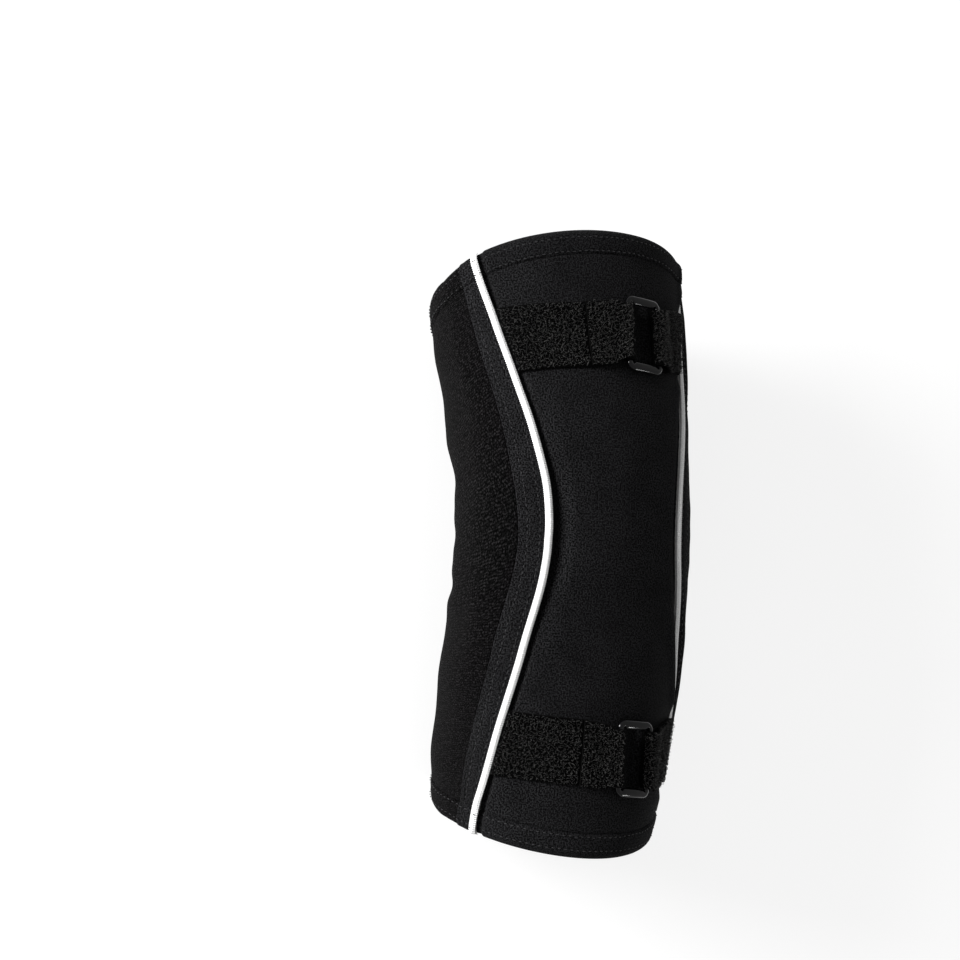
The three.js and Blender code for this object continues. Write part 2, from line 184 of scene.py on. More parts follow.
# How far round the sleeve an angle lies, in mm from the crown: the mm that a radian is worth, summed over a
# table of places and angles. The second table is the first one turned round: the angle at a length.
TABLE_Y = np.linspace(-1.06, 1.06, 213) * HALF_LENGTH
TABLE_ANGLE = np.linspace(-np.pi, 2 * np.pi, 1081)
TABLE_LENGTH = np.linspace(-140, 140, 561)
speed = sleeve_out(*np.meshgrid(TABLE_Y, TABLE_ANGLE, indexing="ij"))[1]
steps = (speed[:, 1:] + speed[:, :-1]) / 2 * (TABLE_ANGLE[1] - TABLE_ANGLE[0])
ROUND = np.concatenate([np.zeros((len(TABLE_Y), 1)), np.cumsum(steps, axis=1)], axis=1)
ROUND -= ROUND[:, [(len(TABLE_ANGLE) - 1) // 3]]
ANGLE = np.array([np.interp(TABLE_LENGTH, row, TABLE_ANGLE) for row in ROUND])


def read_table(table, columns, y, value):
    """Bilinear reading of a table whose rows are TABLE_Y and whose columns are even."""
    y, value = np.broadcast_arrays(np.asarray(y, float), np.asarray(value, float))
    r = np.clip((y - TABLE_Y[0]) / (TABLE_Y[1] - TABLE_Y[0]), 0, len(TABLE_Y) - 1.001)
    c = np.clip((value - columns[0]) / (columns[1] - columns[0]), 0, len(columns) - 1.001)
    i, j = r.astype(int), c.astype(int)
    r, c = r - i, c - j
    low = table[i, j] * (1 - c) + table[i, j + 1] * c
    high = table[i + 1, j] * (1 - c) + table[i + 1, j + 1] * c
    return low * (1 - r) + high * r


def length_round(y, angle):
    """Length round the sleeve from the crown to an angle."""
    return read_table(ROUND, TABLE_ANGLE, y, angle)


def angle_at(y, length):
    """Angle at a length round the sleeve from the crown."""
    return read_table(ANGLE, TABLE_LENGTH, y, length)


def soft_waves(u, v, wavelength, seed, count=7):
    """Sum of sine waves of about one length in random directions, within about 1 of nought: how lying cloth is
    never quite even."""
    random = np.random.default_rng(seed)
    way, shift = random.uniform(0, np.pi, count), random.uniform(0, 2 * np.pi, count)
    length = wavelength * random.uniform(0.75, 1.35, count)
    total = 0.0
    for w, s, k in zip(way, shift, length):
        total = total + np.sin(2 * np.pi * (u * np.cos(w) + v * np.sin(w)) / k + s)
    return total / np.sqrt(2 * count)


HEM_ROWS = (3.6, 9.3)  # the hem's two rows of stitches, in mm from the rim
STITCH_PITCH = 2.7
HEM_GROOVE, HEM_GROOVE_WIDTH = 0.32, 0.75
HEM_STEP, HEM_STEP_END = 0.5, (12.0, 24.0)  # where the step down comes back up
HEM_LINE, HEM_LINE_WIDTH = 0.8, 0.5  # the fine groove where the turned layer ends


def hem_relief(y, angle):
    """What the hem shows outside: a groove along each stitch row, with a small pucker at each stitch, and a
    step down with a fine groove where the turned layer ends. The step comes back up further in."""
    from_rim = rim_distance(y, angle)
    pucker = 0.7 + 0.3 * np.cos(2 * np.pi * length_round(y, angle) / STITCH_PITCH)
    grooves = sum(HEM_GROOVE * bell(from_rim - row, HEM_GROOVE_WIDTH) * pucker for row in HEM_ROWS)
    step = HEM_STEP * smooth(HEM_WIDTH, HEM_WIDTH + 0.8, from_rim) * (1 - smooth(*HEM_STEP_END, from_rim))
    return -grooves - step - HEM_LINE * bell(from_rim - HEM_WIDTH - HEM_LINE_WIDTH, HEM_LINE_WIDTH)


SEAM_DIP, SEAM_DIP_WIDTH = 1.3, 4.0
ELBOW_DIP, ELBOW_DIP_WIDTH, ELBOW_DIP_REACH, ELBOW_DIP_MIDDLE = 3.4, 10.0, 34.0, 4.0


def by_elbow(y, angle):
    """1 at the left seam beside the elbow, falling off along the sleeve as a bell, and 0 on the right."""
    return bell(y - ELBOW_DIP_MIDDLE, ELBOW_DIP_REACH) * (angle < 0)


def front_dip(y, angle):
    """Sinking towards the piping seams, deeper along the left one beside the elbow."""
    edge = seam_angle("piping", y, angle)
    inside = np.maximum((edge - np.abs(angle)) * sleeve_out(y, edge)[1], 0)
    dip = SEAM_DIP * (1 - smooth(0, SEAM_DIP_WIDTH, inside))
    return dip + ELBOW_DIP * by_elbow(y, angle) * (1 - smooth(0, ELBOW_DIP_WIDTH, inside))


# The two straps and their rings lie on the front panel and press into it, so their places are worked out here.
STRAP_WIDTH = 27.0
STRAP_THICKNESS = 1.2
RING_LENGTH, RING_BREADTH, RING_BAR = 31.5, 18.5, 2.4
LOOP_CLIMB = 24.0  # length beyond the ring over which a ring loop climbs to where it is sewn in

# Each strap's place as a share of HALF_LENGTH, its slope, its bow, the ring's turn in degrees, and as shares of
# STRAP_WIDTH the ring's middle, the folded-back end and the loop's climb.
STRAP_SETS = {
    name: {"at": at, "slope": slope, "bow": bow / STRAP_WIDTH, "turn": turn,
           "ring": ring * STRAP_WIDTH, "tab": tab * STRAP_WIDTH, "lift": lift * STRAP_WIDTH}
    for name, at, slope, bow, turn, ring, tab, lift in (
        ("upper", 0.656, 0.02, -0.04, -5, 0.525, -0.445, 0.075),
        ("lower", -0.667, -0.12, -0.008, 2, 0.437, -0.463, 0.222),
    )
}
LOOP_PRESS = 1.1  # how deep a ring loop presses the foam where it is sewn in
SINK, SINK_LOWER, SINK_UPPER = 0.6, 1.5, 1.7  # of the right seam at mid-length, and what both ends add
SINK_LOWER_FROM, SINK_UPPER_FROM = (-10, -46), (46, 84)  # where along the sleeve each comes in
SWELL_SHARE, SWELL_PLACE, SWELL_WIDTH = 0.45, 6.5, 2.8
RING_DENT = 2.4
GROOVE_LEFT, GROOVE_RIGHT = 1.35, 0.45  # how deep the groove beside each seam is, as a share
FRONT_WAVE, FRONT_WAVE_LENGTH = 0.4, 46


def strap_line(strap, along):
    """Where the strap's middle lies along the sleeve: a parabola, and a smooth climb beyond the ring."""
    past = strap["ring"] + RING_BREADTH / 2 + STRAP_THICKNESS
    climb = strap["lift"] * smooth(past, past + LOOP_CLIMB, along)
    return strap["at"] * HALF_LENGTH + strap["slope"] * along + strap["bow"] * along * along + climb


def under_straps(y, u):
    """1 beneath a strap and 0 a little beside it."""
    off = [np.abs(y - strap_line(strap, u)) for strap in STRAP_SETS.values()]
    return 1 - smooth(STRAP_WIDTH / 2, STRAP_WIDTH / 2 + 8, np.minimum(*off))


def loop_press(y, u):
    """How deep the foam is pressed beneath the ring loops: not at the ring, and fully near the right seam."""
    return LOOP_PRESS * under_straps(y, u) * smooth(20, 38, u)


def seam_sink(y, angle, inside):
    """How much deeper the right seam is drawn in, most towards both rims, up to a distance from it."""
    sink = SINK + SINK_LOWER * smooth(*SINK_LOWER_FROM, y) + SINK_UPPER * smooth(*SINK_UPPER_FROM, y)
    return sink * (np.sin(angle) > 0) * (1 - smooth(1.6, 5.0, inside))


def seam_swell(y, angle, inside):
    """The foam's swelling on either side of that drawn-in seam, as a bell a little away from it."""
    return SWELL_SHARE * seam_sink(y, angle, 0) * bell(inside - SWELL_PLACE, SWELL_WIDTH)


def ring_dent(y, u):
    """The hollow that a ring and the two folds in it press into the foam: a flat floor with smooth edges."""
    dent = 0.0
    for strap in STRAP_SETS.values():
        off = np.abs(y - strap_line(strap, u))
        dent = dent + (1 - smooth(3.5, 7.0, np.abs(u - strap["ring"]))) * (1 - smooth(12.5, 16.0, off))
    return RING_DENT * dent


def front_relief(y, angle):
    """The hems, the loops' press, slow waves, a groove beside each piping seam with small puckers in it, and
    the deeper dip by the elbow. The groove is deepest 1.5 mm from the seam and comes up under the ribbon."""
    u = length_round(y, angle)
    inside = np.maximum(length_round(y, seam_angle("piping", y, angle)) - np.abs(u), 0)
    free = 1 - under_straps(y, u)
    waves = FRONT_WAVE * soft_waves(u, y, FRONT_WAVE_LENGTH, seed=3) * smooth(3, 16, inside) * free
    groove = smooth(-0.9, 1.4, inside) * (1 - smooth(1.6, 4.4, inside))
    groove = groove * np.where(angle > 0, GROOVE_RIGHT, GROOVE_LEFT)
    puckers = 0.3 + 0.1 * np.cos(2 * np.pi * y / 3.3 + 2 * soft_waves(u, y, 17, seed=4))
    elbow = ELBOW_DIP * by_elbow(y, angle) * (0.25 + 0.75 * smooth(0, 2.4, inside))
    elbow = elbow * (1 - smooth(2.6, 11, inside))
    drawn = seam_sink(y, angle, inside) - seam_swell(y, angle, inside) * free
    pressed = loop_press(y, u) + ring_dent(y, u) + drawn
    return hem_relief(y, angle) + waves - pressed - groove * (SEAM_DIP + puckers) - elbow


# Rows from the lower to the upper rim: even steps round each rounded rim, half a mm over each hem, and about a
# mm between the hems. A row's y is its start from the lower rim and its share of the length between the hems.
RIM_STEPS, MIDDLE_ROWS = 8, 235
hem_rows = np.concatenate([
    RIM_ROUND * (1 - np.cos(np.linspace(0, np.pi / 2, RIM_STEPS))),
    np.arange(RIM_ROUND + 0.5, HEM_WIDTH + 3, 0.5),
])
inner_row = hem_rows[-1]
ROW_START = np.concatenate([hem_rows, np.full(MIDDLE_ROWS, inner_row), 2 * inner_row - hem_rows[::-1]])
ROW_SHARE = np.concatenate([0 * hem_rows, np.linspace(0, 1, MIDDLE_ROWS + 2)[1:-1], 0 * hem_rows + 1])


def row_place(angle):
    """Each row's y at an angle, from its start and its share."""
    low, high = lower_rim(angle), upper_rim(angle)
    return low + ROW_START[:, None] + ROW_SHARE[:, None] * (high - low - 2 * inner_row)


def wall_faces(from_rim):
    """Heights of the wall's outer and inner face. Both close in a quarter circle at the rim, and the turned hem
    thickens the wall inwards up to its own edge."""
    short = np.clip(from_rim / RIM_ROUND, 0, 1)
    closing = (WALL + HEM_EXTRA) / 2 * (1 - np.sqrt(1 - (1 - short) ** 2))
    hem = HEM_EXTRA * (1 - smooth(HEM_WIDTH, HEM_WIDTH + 0.9, from_rim))
    return -closing, closing - WALL - hem


def grid_faces(rows, columns, closed_rows=False, closed_columns=False):
    """Quads of a grid of points numbered row by row; a closed direction joins its last to its first."""
    last_row, last_column = rows - (not closed_rows), columns - (not closed_columns)
    r, c = np.meshgrid(np.arange(last_row), np.arange(last_column), indexing="ij")
    r2, c2 = (r + 1) % rows, (c + 1) % columns
    corners = (r * columns + c, r * columns + c2, r2 * columns + c2, r2 * columns + c)
    return np.stack(corners, -1).reshape(-1, 4)


def make_piece(name, points, faces, uv, material, sharp=50):
    """Puts points in mm and their faces into an object that rides on the brace. The UV map holds each point's
    place on the cloth in mm. The surface is smooth but for edges sharper than an angle in degrees."""
    mesh = bpy.data.meshes.new(name)
    mesh.from_pydata((np.reshape(points, (-1, 3)) * MM).tolist(), [], faces)
    layer = mesh.uv_layers.new(name="cloth_mm")
    corners = np.empty(len(mesh.loops), np.int32)
    mesh.loops.foreach_get("vertex_index", corners)
    layer.data.foreach_set("uv", np.reshape(uv, (-1, 2))[corners].astype(np.float32).ravel())
    mesh.shade_smooth()
    mesh.set_sharp_from_angle(angle=np.radians(sharp))
    mesh.materials.append(material)
    piece = bpy.data.objects.new(name, mesh)
    bpy.context.scene.collection.objects.link(piece)
    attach(piece, "root")
    return piece


SEAM_ROUND = 0.7


def make_panel(name, start, end, columns, crowd, relief, cloth_uv, material):
    """A panel between two seams as one closed surface. Its rows go from seam to seam, over the outer face from
    the lower rim to the upper one and back over the inner face; each end of a row is joined through the wall.
    Columns crowd towards the seams, where the outer face is rounded off in a quarter circle."""
    even = np.linspace(0, 1, columns + 1)
    share = even + crowd * (smooth(0, 1, even) - even)
    angle = start(0.0) + share * (end(0.0) - start(0.0)) + 0 * ROW_SHARE[:, None]
    for _ in range(ROUNDS):
        y = row_place(angle)
        width = end(y) - start(y)
        angle = start(y) + share * width
    inside = np.minimum(share, 1 - share) * width * sleeve_out(y, angle)[1]
    short = np.clip(inside / SEAM_ROUND, 0, 1)
    edge = SEAM_ROUND * (1 - np.sqrt(1 - (1 - short) ** 2))
    outer, inner = wall_faces(rim_distance(y, angle))
    over = on_sleeve(y, angle, outer - edge + relief(y, angle))
    under = on_sleeve(y, angle, inner)
    # At the rims the two faces share a row, which lies on the rounded edge's middle.
    points = np.concatenate([over, under[-2:0:-1]])
    place = cloth_uv(y, angle)
    place[..., 1] -= np.sign(y) * outer
    uv = np.concatenate([place, place[-2:0:-1]])
    rows, all_rows, wide = len(over), len(points), columns + 1
    faces = grid_faces(all_rows, wide, closed_rows=True).tolist()
    r = np.arange(rows)
    top, bottom = r * wide, (all_rows - r) % all_rows * wide
    for side, turned in ((0, 1), (columns, -1)):
        wall = np.stack([top[:-1], top[1:], bottom[1:], bottom[:-1]], -1) + side
        faces += [list(dict.fromkeys(quad))[::turned] for quad in wall.tolist()]
    return make_piece(name, points, faces, uv, material)


def plain_uv(y, angle):
    """Place on the cloth: the length round the sleeve, and the place along it."""
    return np.stack([length_round(y, angle), y], -1)


def fill_inputs(tree, node, inputs):
    """Links an input that is given another node's socket, and sets any other to its value."""
    for key, value in inputs.items():
        if isinstance(value, bpy.types.NodeSocket):
            tree.links.new(value, node.inputs[key])
        else:
            node.inputs[key].default_value = value


def add_node(tree, kind, inputs=None, **settings):
    """A node with its settings, and its inputs linked or set."""
    node = tree.nodes.new(kind)
    for key, value in settings.items():
        setattr(node, key, value)
    fill_inputs(tree, node, inputs or {})
    return node


def calculate(tree, operation, *values):
    """The result of one sum on numbers or sockets, by the name of a maths node's operation."""
    node = add_node(tree, "ShaderNodeMath", dict(enumerate(values)), operation=operation)
    return node.outputs[0]


def new_group(name, inputs, outputs):
    """An empty shader node group. Inputs are names with their default, three numbers for a vector."""
    tree = bpy.data.node_groups.new(name, "ShaderNodeTree")
    for label, value in inputs.items():
        kind = "NodeSocketVector" if isinstance(value, tuple) else "NodeSocketFloat"
        tree.interface.new_socket(label, in_out="INPUT", socket_type=kind).default_value = value
    for label in outputs:
        tree.interface.new_socket(label, in_out="OUTPUT", socket_type="NodeSocketFloat")
    return tree, tree.nodes.new("NodeGroupInput").outputs, tree.nodes.new("NodeGroupOutput").inputs


def use_group(tree, group, **inputs):
    """The one output of a node group that is given these inputs."""
    node = add_node(tree, "ShaderNodeGroup", node_tree=group)
    fill_inputs(tree, node, inputs)
    return node.outputs[0]


# Jersey: columns of V-shaped loops. Across a column the height falls off as a parabola, and along it the loops
# rise and fall as a sine that lags towards the column's edges.
jersey, given, result = new_group("jersey", {"Vector": (0.0, 0.0, 0.0), "Wale": 0.6, "Course": 0.5}, ["Height"])
part = add_node(jersey, "ShaderNodeSeparateXYZ", {0: given["Vector"]}).outputs
wale = calculate(jersey, "FRACT", calculate(jersey, "DIVIDE", part["X"], given["Wale"]))
edge = calculate(jersey, "ABSOLUTE", calculate(jersey, "MULTIPLY_ADD", wale, 2.0, -1.0))
course = calculate(jersey, "DIVIDE", part["Y"], given["Course"])
course = calculate(jersey, "MULTIPLY", calculate(jersey, "MULTIPLY_ADD", edge, 0.45, course), 2 * np.pi)
loops = calculate(jersey, "MULTIPLY_ADD", calculate(jersey, "SINE", course), 0.25, 0.7)
column = calculate(jersey, "SUBTRACT", 1.0, calculate(jersey, "MULTIPLY", edge, edge))
jersey.links.new(calculate(jersey, "MULTIPLY", column, loops), result["Height"])

# Nap: the fine fuzz and lint of a cloth's face, from 0 to 1, as noise of one size with a few finer layers.
nap, given, result = new_group("nap", {"Vector": (0.0, 0.0, 0.0), "Size": 0.5, "Contrast": 1.0}, ["Value"])
fineness = calculate(nap, "DIVIDE", 1.0, given["Size"])
noise = add_node(nap, "ShaderNodeTexNoise", {
    "Vector": given["Vector"], "Scale": fineness, "Detail": 3.0, "Roughness": 0.6,
}, noise_dimensions="2D")
centred = calculate(nap, "MULTIPLY", calculate(nap, "SUBTRACT", noise.outputs[0], 0.5), given["Contrast"])
clamped = add_node(nap, "ShaderNodeClamp", {0: calculate(nap, "MULTIPLY_ADD", centred, 2.0, 0.5)})
nap.links.new(clamped.outputs[0], result["Value"])


def mix_colour(tree, share, first, second):
    """From the first colour to the second by a share. Each is a socket, three numbers, or one for a grey."""
    colours = [given if isinstance(given, bpy.types.NodeSocket) else (*np.broadcast_to(given, 3).tolist(), 1)
               for given in (first, second)]
    node = add_node(tree, "ShaderNodeMix", {"Factor": share, 6: colours[0], 7: colours[1]}, data_type="RGBA")
    return node.outputs[2]


def new_material(name):
    """A material with its Principled shader, and the cloth's own UV place in mm."""
    material = bpy.data.materials.new(name)
    material.use_nodes = True
    tree = material.node_tree
    place = add_node(tree, "ShaderNodeUVMap", None, uv_map="cloth_mm").outputs[0]
    return material, tree, tree.nodes["Principled BSDF"], place


def set_shader(tree, shader, colour, roughness, height, relief_mm, **constants):
    """Links colour, roughness and a bump of a height from 0 to 1, and sets the rest on the shader itself."""
    tree.links.new(colour, shader.inputs["Base Color"])
    tree.links.new(roughness, shader.inputs["Roughness"])
    bump = add_node(tree, "ShaderNodeBump", {"Height": height, "Distance": relief_mm * MM, "Strength": 1.0})
    tree.links.new(bump.outputs[0], shader.inputs["Normal"])
    for key, value in constants.items():
        shader.inputs[key.replace("_", " ")].default_value = value


# The smooth face is a fine black jersey. Its colour is partly painted: greyer specks where its fuzz would catch
# light are a painted sheen, and darker gaps between the knit loops are a painted shade. The bands get a copy
# with a stronger painted speckle, a painted light for the stronger light from the left on them.
def jersey_cloth(name, dark, light, contrast):
    """Jersey whose colour goes from dark to light with its fuzz, its knit loops and slow patches, as greys with
    a hint of blue. The patches are random tone. The fuzz's light specks are painted sheen, and the dark gaps
    between the loops are painted shade. The loops of the knit and the fuzz make its bump."""
    material, tree, shader, place = new_material(name)
    fuzz = use_group(tree, nap, Vector=place, Size=0.62, Contrast=contrast)
    patches = use_group(tree, nap, Vector=place, Size=14.0, Contrast=1.0)
    loops = use_group(tree, jersey, Vector=place, Wale=0.62, Course=0.55)
    # Painted colour: the fuzz's light specks are painted sheen, the dark gaps between the knit loops are
    # painted shade, and the slow patches are random tone.
    share = calculate(tree, "MULTIPLY", calculate(tree, "MULTIPLY_ADD", patches, 0.5, 0.75), fuzz)
    share = calculate(tree, "MULTIPLY", share, calculate(tree, "MULTIPLY_ADD", loops, 0.7, 0.5))
    colour = mix_colour(tree, share, (dark, dark, 1.08 * dark), (light, light, 1.06 * light))
    rough = calculate(tree, "MULTIPLY_ADD", fuzz, 0.1, 0.8)
    height = calculate(tree, "MULTIPLY_ADD", loops, 0.6, calculate(tree, "MULTIPLY", fuzz, 0.4))
    set_shader(tree, shader, colour, rough, height, 0.16,
               Sheen_Weight=0.01, Sheen_Roughness=0.5, Specular_IOR_Level=0.02)
    return material


smooth_knit = jersey_cloth("smooth_knit", 0.0006, 0.0165, 4.6)
# The bands' copy of the same jersey has a stronger speckle. This is painted light, standing in for the stronger
# light from the left that falls on the bands.
band_knit_painted_light = jersey_cloth("band_knit_painted_light", 0.0006, 0.0165, 5.2)


def front_edge(y, side):
    """The front panel's edge: the piping seam."""
    return side * seam_angle("piping", y, side)


front_panel = make_panel("front_panel_cloth", lambda y: front_edge(y, -1), lambda y: front_edge(y, 1), 128, 0.7,
                         front_relief, plain_uv, smooth_knit)
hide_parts("front_panel")

# The two side bands, between the piping and the crook panel: the same smooth jersey on foam. Each is
# top-stitched with two rows of thread along the crook seam, and its edge lies a little over the crook panel.

PIPING_ALLOWANCE = 0.8
SEAT = GAP + PIPING_ALLOWANCE + GAP  # room in the seam for the piping's sewn allowance
BAND_ROWS = (4.1, 9.3)  # rows of stitches, in mm from the crook seam
BAND_WIDE = 13.7  # where the band is narrower, the rows draw together
BAND_GROOVE, BAND_GROOVE_WIDTH = 0.22, 0.8
BAND_WAVE, BAND_WAVE_LENGTH = 0.15, 21


def band_start(y, side):
    """A band's edge at the piping, clear of the allowance in the seam."""
    edge = seam_angle("piping", y, side)
    return side * (edge + mm_angle(y, edge, SEAT))


def band_end(y, side):
    """A band's edge at the crook seam."""
    edge = seam_angle("band", y, side)
    return side * (edge - mm_angle(y, edge, GAP / 2))


def from_crook_seam(y, angle):
    """Distance round the sleeve from the crook seam, positive on the band's side."""
    away = np.arccos(np.cos(angle))
    return length_round(y, seam_angle("band", y, np.sin(angle))) - length_round(y, away)


def band_row(y, side, row):
    """A stitch row's distance from the crook seam, which shrinks with the band's width where it is narrow."""
    wide = length_round(y, seam_angle("band", y, side)) - length_round(y, seam_angle("piping", y, side))
    return row * np.minimum(1, wide / BAND_WIDE)


def band_relief(y, angle):
    """The hems, a groove with puckers along each stitch row, slow waves, and the drawn-in seam."""
    off, side = from_crook_seam(y, angle), np.sin(angle)
    pucker = 0.65 + 0.35 * np.cos(2 * np.pi * y / STITCH_PITCH)
    rows = (bell(off - band_row(y, side, row), BAND_GROOVE_WIDTH) for row in BAND_ROWS)
    grooves = sum(BAND_GROOVE * row * pucker for row in rows)
    away = np.arccos(np.cos(angle))
    inside = np.maximum(length_round(y, away) - length_round(y, seam_angle("piping", y, side)), 0)
    drawn = seam_swell(y, angle, inside) - seam_sink(y, angle, inside)
    return hem_relief(y, angle) - grooves + BAND_WAVE * soft_waves(off, y, BAND_WAVE_LENGTH, seed=5) + drawn


def make_band(name, start, end):
    """A side band between two of its edges."""
    band = make_panel(name + "_cloth", start, end, 30, 0.6, band_relief, plain_uv, band_knit_painted_light)
    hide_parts(name)


make_band("left_side_band", lambda y: band_end(y, -1), lambda y: band_start(y, -1))
make_band("right_side_band", lambda y: band_start(y, 1), lambda y: band_end(y, 1))

# The crook panel, in the bend of the arm: foam with a coarser knit whose ribs run round the arm and climb
# towards the elbow side near the upper rim. Two creases cross it where the sleeve is bent.

LAP_STEP, LAP_STEP_WIDTH = 0.8, 14.0
SEAM_LAP = 0.3  # how far the panel's edge goes under the bands' edges, so that no light shows through the seam
CROOK_FOLD, CROOK_FOLD_LENGTH = 0.55, 30
WRINKLE, WRINKLE_LENGTH, WRINKLE_REACH = 0.4, 11, 45  # the finer folds by the creases
RIB_PITCH = 0.86
RIB_LOOP = 1.25  # one loop's length along a rib
RIB_CLIMB = 0.5


def crook_edge(y, side):
    """The crook panel's edge, a little under the band's."""
    edge = seam_angle("band", y, side)
    return side * (edge - mm_angle(y, edge, SEAM_LAP))


def crook_relief(y, angle):
    """The step under the bands' edges, the hems, and folds that run round the arm, finer ones by the creases.
    Where the panel lies on the floor it has no folds."""
    inside = np.maximum(-from_crook_seam(y, angle), 0)
    u = length_round(y, angle)
    folds = CROOK_FOLD * soft_waves(u * 0.35, y, CROOK_FOLD_LENGTH, seed=8) * smooth(2, 22, inside)
    wrinkles = WRINKLE * bell(y, WRINKLE_REACH) * soft_waves(u * 0.3, y, WRINKLE_LENGTH, seed=9)
    wrinkles = wrinkles * smooth(3, 16, inside)
    off_floor = smooth(2.0, 8.0, sleeve_form(y, angle)[..., 2])
    step = LAP_STEP * (1 - smooth(0, LAP_STEP_WIDTH, inside))
    return hem_relief(y, angle) - step + (folds + wrinkles) * off_floor


def rib_uv(y, angle):
    """Place on the cloth, sheared so that a rib climbs with its distance from the middle of the crook."""
    u = length_round(y, angle)
    middle = length_round(y, np.pi + 0 * y)
    climb = RIB_CLIMB * smooth(-70, 90, y)
    return np.stack([u, y - climb * np.sqrt((u - middle) ** 2 + 64)], -1)


# Ribs: rounded ridges of one pitch along the cloth's second direction, broken into loops that are offset from
# rib to rib, with an uneven line from a slow noise.
rib_inputs = {"Vector": (0.0, 0.0, 0.0), "Pitch": RIB_PITCH, "Loop": RIB_LOOP}
ribs, given, result = new_group("ribs", rib_inputs, ["Height"])
part = add_node(ribs, "ShaderNodeSeparateXYZ", {0: given["Vector"]}).outputs
uneven = add_node(ribs, "ShaderNodeTexNoise", {"Vector": given["Vector"], "Scale": 0.3, "Detail": 1.0},
                  noise_dimensions="2D").outputs[0]
row = calculate(ribs, "ADD", calculate(ribs, "DIVIDE", part["Y"], given["Pitch"]),
                calculate(ribs, "MULTIPLY", uneven, 1.2))
ridge = calculate(ribs, "ABSOLUTE", calculate(ribs, "SINE", calculate(ribs, "MULTIPLY", row, np.pi)))
offset = calculate(ribs, "MULTIPLY", calculate(ribs, "FLOOR", row), 0.37)
along = calculate(ribs, "ADD", calculate(ribs, "DIVIDE", part["X"], given["Loop"]), offset)
beads = calculate(ribs, "ABSOLUTE", calculate(ribs, "SINE", calculate(ribs, "MULTIPLY", along, np.pi)))
beads = calculate(ribs, "MULTIPLY_ADD", beads, 0.5, 0.5)
ribs.links.new(calculate(ribs, "MULTIPLY", ridge, beads), result["Height"])

ribbed_knit, tree, shader, place = new_material("ribbed_knit")
ridges = use_group(tree, ribs, Vector=place, Pitch=RIB_PITCH, Loop=RIB_LOOP)
fuzz = use_group(tree, nap, Vector=place, Size=0.65, Contrast=4.5)
mottle = use_group(tree, nap, Vector=place, Size=1.5, Contrast=3.0)
# The colour follows the ribs. The ridges are painted lighter and the gaps darker, a painted highlight and a
# painted shade. This is multiplied by the fuzz's painted sheen specks and a random mottle.
lit = calculate(tree, "MULTIPLY", ridges, fuzz)
lit = calculate(tree, "MULTIPLY", lit, calculate(tree, "MULTIPLY_ADD", mottle, 1.1, 0.35))
colour = mix_colour(tree, lit, 0.0001, (0.0112, 0.0106, 0.0110))
rough = calculate(tree, "MULTIPLY_ADD", fuzz, -0.1, 0.9)
height = calculate(tree, "MULTIPLY_ADD", fuzz, 0.3, calculate(tree, "MULTIPLY", ridges, 0.7))
set_shader(tree, shader, colour, rough, height, 0.30,
           Sheen_Weight=0.01, Sheen_Roughness=0.5, Specular_IOR_Level=0.02)

crook_panel = make_panel("crook_panel_cloth", lambda y: crook_edge(y, 1),
                         lambda y: 2 * np.pi + crook_edge(y, -1), 132, 0.5, crook_relief, rib_uv,
                         ribbed_knit)
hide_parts("crook_panel")

# The white piping: a flat ribbon of ribbed weave, folded double, whose allowance goes down into the seam
# between the front panel and a side band. It runs from rim to rim and over the rounded edges.

PIPING_WIDTH = 3.1  # of the ribbon
PIPING_THICKNESS = 1.3
PIPING_EDGE = 0.7  # thickness of the ribbon at its two edges
RIBBON_CREASE = 1.2  # where its fold line shows, in mm from the seam towards the band
RIBBON_CREASE_DEPTH, RIBBON_CREASE_WIDTH = 0.16, 0.22
PIPING_OVERHANG = 0.7  # the part that stands out over the front panel's edge
WEFT_PITCH = 0.85
WEFT_DEPTH = 0.17  # how far each rib of the weave stands out at the ribbon's edges
WEFT_ROWS = 4  # rows of points for each rib of the weave

ribbon_white, tree, shader, place = new_material("white_ribbon")
fibre = use_group(tree, nap, Vector=place, Size=0.45, Contrast=1.2)
soil = use_group(tree, nap, Vector=place, Size=5.0, Contrast=1.4)
clean = mix_colour(tree, fibre, 0.56, (0.78, 0.78, 0.77))
colour = mix_colour(tree, calculate(tree, "MULTIPLY", soil, 0.16), clean, (0.55, 0.55, 0.56))
rough = calculate(tree, "MULTIPLY_ADD", fibre, 0.15, 0.6)
set_shader(tree, shader, colour, rough, fibre, 0.1, Sheen_Weight=0.1, Specular_IOR_Level=0.3)


def piping_profile():
    """The ribbon's section as (across, height): over its top, which falls off to both thin rounded edges, back
    under it, and down round the sewn allowance. Across counts from the seam towards the band."""
    low, top = GAP, GAP + PIPING_THICKNESS
    start, end = -PIPING_OVERHANG, PIPING_WIDTH - PIPING_OVERHANG
    radius = PIPING_EDGE / 2
    turn = np.linspace(-np.pi / 2, np.pi / 2, 7)[:, None]
    band_side = np.hstack([end - radius + radius * np.cos(turn), low + radius + radius * np.sin(turn)])
    flat = np.linspace(end - radius, start + radius, 14)[1:-1, None]
    bulge = 1 - np.abs((flat - (start + end) / 2) / (PIPING_WIDTH / 2 - radius)) ** 3
    crease = RIBBON_CREASE_DEPTH * bell(flat - RIBBON_CREASE, RIBBON_CREASE_WIDTH)
    top_face = np.hstack([flat, low + PIPING_EDGE + (top - low - PIPING_EDGE) * bulge - crease])
    front_side = np.hstack([start + radius - radius * np.cos(turn), low + radius - radius * np.sin(turn)])
    depth = low - WALL + 1
    far = low + PIPING_ALLOWANCE
    allowance = np.array([(low, low), (low, depth), (far, depth), (far, low)])
    return np.concatenate([band_side, top_face, front_side, allowance])


def closed_tube(count, around, turned):
    """Faces of a closed tube whose rows of points run round it, with one flat face at either end."""
    ring = np.arange(around)
    faces = grid_faces(count, around, closed_columns=True).tolist()
    faces += [ring[::-1].tolist(), (ring + (count - 1) * around).tolist()]
    return [face[::-1] for face in faces] if turned else faces


